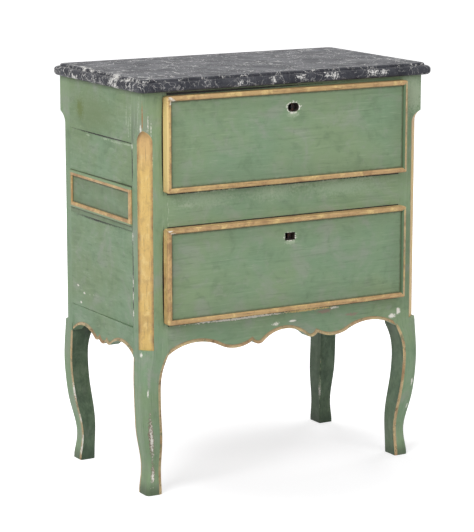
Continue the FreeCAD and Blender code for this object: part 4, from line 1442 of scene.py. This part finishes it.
class CHEST_OT_sides(ChestOperator, bpy.types.Operator):
    """Make the framed sides with their gilt mouldings"""

    bl_idname = "chest.sides"
    bl_label = "Sides"

    def execute(self, context):
        front, back = (corner.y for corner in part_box("left_lower_panel"))

        def at_back_post(edge):
            return runs_in(edge, DEEP, back)

        def at_posts(edge):
            return at_back_post(edge) or runs_in(edge, DEEP, front)

        for end, side in enumerate(SIDES):
            for level in LEVELS:
                make_panel(f"{side}_{level}_panel", end, at_back_post)
            frieze, rail = f"{side}_frieze", f"{side}_middle_rail"
            make_board(frieze, "painted", paint_of(frieze, DEEP), "seam", at_posts)
            outlines = frame_outlines(f"{side}_moulding_frame")
            paint = finish(green_paint, f"green_{rail}", DEEP, framed=outlines)
            make_board(rail, "painted", paint, "seam", at_back_post)
            make_frame(f"{side}_moulding_frame", end)
            apron = f"{side}_apron"
            make_apron(apron, ACROSS, paint_of(apron, DEEP), worn_gilt_along(DEEP))
        return {"FINISHED"}


class CHEST_OT_back(ChestOperator, bpy.types.Operator):
    """Make the unpainted back, the runners and the kickers"""

    bl_idname = "chest.back"
    bl_label = "Back and Runners"

    def execute(self, context):
        for name in ("top_rail", "upper_board", "middle_rail", "lower_board", "bottom_rail"):
            make_board(f"back_{name}", "bare", pine_along(ACROSS))
        for level in LEVELS:
            for side in SIDES:
                for piece in ("runner", "kicker"):
                    make_board(f"{level}_{side}_{piece}", "bare", pine_along(DEEP))
        return {"FINISHED"}


class CHEST_OT_drawers(ChestOperator, bpy.types.Operator):
    """Make both drawers: fronts, gilt borders and boxes"""

    bl_idname = "chest.drawers"
    bl_label = "Drawers"

    def execute(self, context):
        boards = {"left_side": DEEP, "right_side": DEEP, "back": ACROSS, "bottom": ACROSS}
        for level in LEVELS:
            make_drawer_front(level)
            for edge in ("bottom", "right", "top", "left"):
                make_border(level, edge)
            for board, axis in boards.items():
                make_board(f"{level}_drawer_{board}", "bare", pine_along(axis))
        return {"FINISHED"}


class CHEST_OT_locks(ChestOperator, bpy.types.Operator):
    """Make the iron locks with their bolts"""

    bl_idname = "chest.locks"
    bl_label = "Locks"

    def execute(self, context):
        for level in LEVELS:
            for piece in ("case", "bolt"):
                make_board(f"{level}_lock_{piece}", "iron", finish(old_iron, "old_iron"))
        return {"FINISHED"}


def aim_at(item, place):
    item.rotation_euler = (Vector(place) - item.location).to_track_quat("-Z", "Y").to_euler()


def add_lamp(name, place, aim, size, watts):
    """A large soft square lamp."""
    data = bpy.data.lights.new(name, "AREA")
    data.size = size
    data.energy = watts
    lamp = bpy.data.objects.new(name, data)
    lamp.location = place
    aim_at(lamp, aim)
    bpy.context.scene.collection.objects.link(lamp)
    return lamp


def seen_directly(wires):
    """How far a ray is one that shows the background: from the camera, a gloss or through glass."""
    path = wires.node("LightPath")
    shown = wires.sum("MAXIMUM", path.outputs["Is Camera Ray"], path.outputs["Is Glossy Ray"])
    return wires.sum("MAXIMUM", shown, path.outputs["Is Transmission Ray"])


def make_floor():
    """Pale floor that keeps the chest's shadow and meets the white background."""
    bm = bmesh.new()
    bmesh.ops.create_grid(bm, x_segments=1, y_segments=1, size=12)
    mesh = bpy.data.meshes.new("floor")
    bm.to_mesh(mesh)
    bm.free()
    floor = bpy.data.objects.new("floor", mesh)
    bpy.context.scene.collection.objects.link(floor)
    material = bpy.data.materials.new("pale_floor")
    wires = Wires(blank_tree(material))
    diffuse = wires.node("BsdfDiffuse", {"Color": "floor"})
    shadow_middle = (0.05, -0.12, 0)
    away = wires.vector("DISTANCE", wires.node("TexCoord").outputs["Object"], shadow_middle)
    shown = wires.sum("MULTIPLY", seen_directly(wires), wires.step(away, 0.15, 0.6, 0.52, 1.0))
    glow = wires.node("Emission", {"Color": (1, 1, 1, 1), "Strength": shown})
    both = wires.node("AddShader", enumerate((diffuse.outputs[0], glow.outputs[0])))
    wires.node("OutputMaterial", {"Surface": both.outputs[0]})
    mesh.materials.append(material)


def make_world(ambient):
    """White surroundings that light the chest evenly."""
    world = bpy.data.worlds.new("studio")
    bpy.context.scene.world = world
    wires = Wires(blank_tree(world))
    strength = wires.step(seen_directly(wires), 0.0, 1.0, ambient, 1.0)
    sky = wires.node("Background", {"Color": (1, 1, 1, 1), "Strength": strength})
    wires.node("OutputWorld", {"Surface": sky.outputs[0]})


class CHEST_OT_stage(ChestOperator, bpy.types.Operator):
    """Make the floor, the light and the camera"""

    bl_idname = "chest.stage"
    bl_label = "Stage"

    def execute(self, context):
        stage = context.scene.chest_stage
        context.scene.view_settings.view_transform = "Standard"
        make_floor()
        make_world(stage.ambient)
        middle = (CAD_BOX[0] + CAD_BOX[1]) / 2
        add_lamp("key_lamp", (-2.7, -1.5, 2.7), middle, 1.8, stage.key)
        add_lamp("fill_lamp", (0.7, -3.5, 2.0), middle, 2.0, stage.fill)
        add_lamp("side_lamp", (2.9, 1.2, 2.2), middle, 2.0, stage.side)
        behind = add_lamp("back_lamp", (0.4, 3.5, 1.6), middle, 2.0, stage.back)
        behind.visible_glossy = False
        data = bpy.data.cameras.new("camera")
        data.lens = stage.lens
        camera = bpy.data.objects.new("camera", data)
        level, rise = math.cos(stage.elevation), math.sin(stage.elevation)
        back = Vector((math.sin(stage.azimuth) * level, -math.cos(stage.azimuth) * level, rise))
        camera.location = Vector(stage.aim) + back * stage.distance
        aim_at(camera, stage.aim)
        context.scene.collection.objects.link(camera)
        context.scene.camera = camera
        return {"FINISHED"}


OPERATORS = (
    CHEST_OT_slab,
    CHEST_OT_posts,
    CHEST_OT_front,
    CHEST_OT_sides,
    CHEST_OT_back,
    CHEST_OT_drawers,
    CHEST_OT_locks,
    CHEST_OT_stage,
)


class CHEST_PT_panel(bpy.types.Panel):
    """Lists the pieces of the chest"""

    bl_idname = "CHEST_PT_panel"
    bl_label = "Bedside Chest"
    bl_space_type = "VIEW_3D"
    bl_region_type = "UI"
    bl_category = "Chest"

    def draw(self, context):
        for operator in OPERATORS:
            self.layout.operator(operator.bl_idname)
        for group in PROPERTIES:
            settings = getattr(context.scene, group)
            for name in settings.bl_rna.properties.keys():
                if name not in ("rna_type", "name"):
                    self.layout.prop(settings, name)


PROPERTIES = {"chest_sizes": ChestSizes, "chest_colours": ChestColours, "chest_stage": ChestStage}
CLASSES = (*PROPERTIES.values(), *OPERATORS, CHEST_PT_panel)


def register():
    for item in CLASSES:
        bpy.utils.register_class(item)
    for name, group in PROPERTIES.items():
        setattr(bpy.types.Scene, name, PointerProperty(type=group))


def unregister():
    for name in PROPERTIES:
        delattr(bpy.types.Scene, name)
    for item in reversed(CLASSES):
        bpy.utils.unregister_class(item)


def main():
    register()
    for operator in OPERATORS:
        group, name = operator.bl_idname.split(".")
        getattr(getattr(bpy.ops, group), name)()


if __name__ == "__main__":
    main()
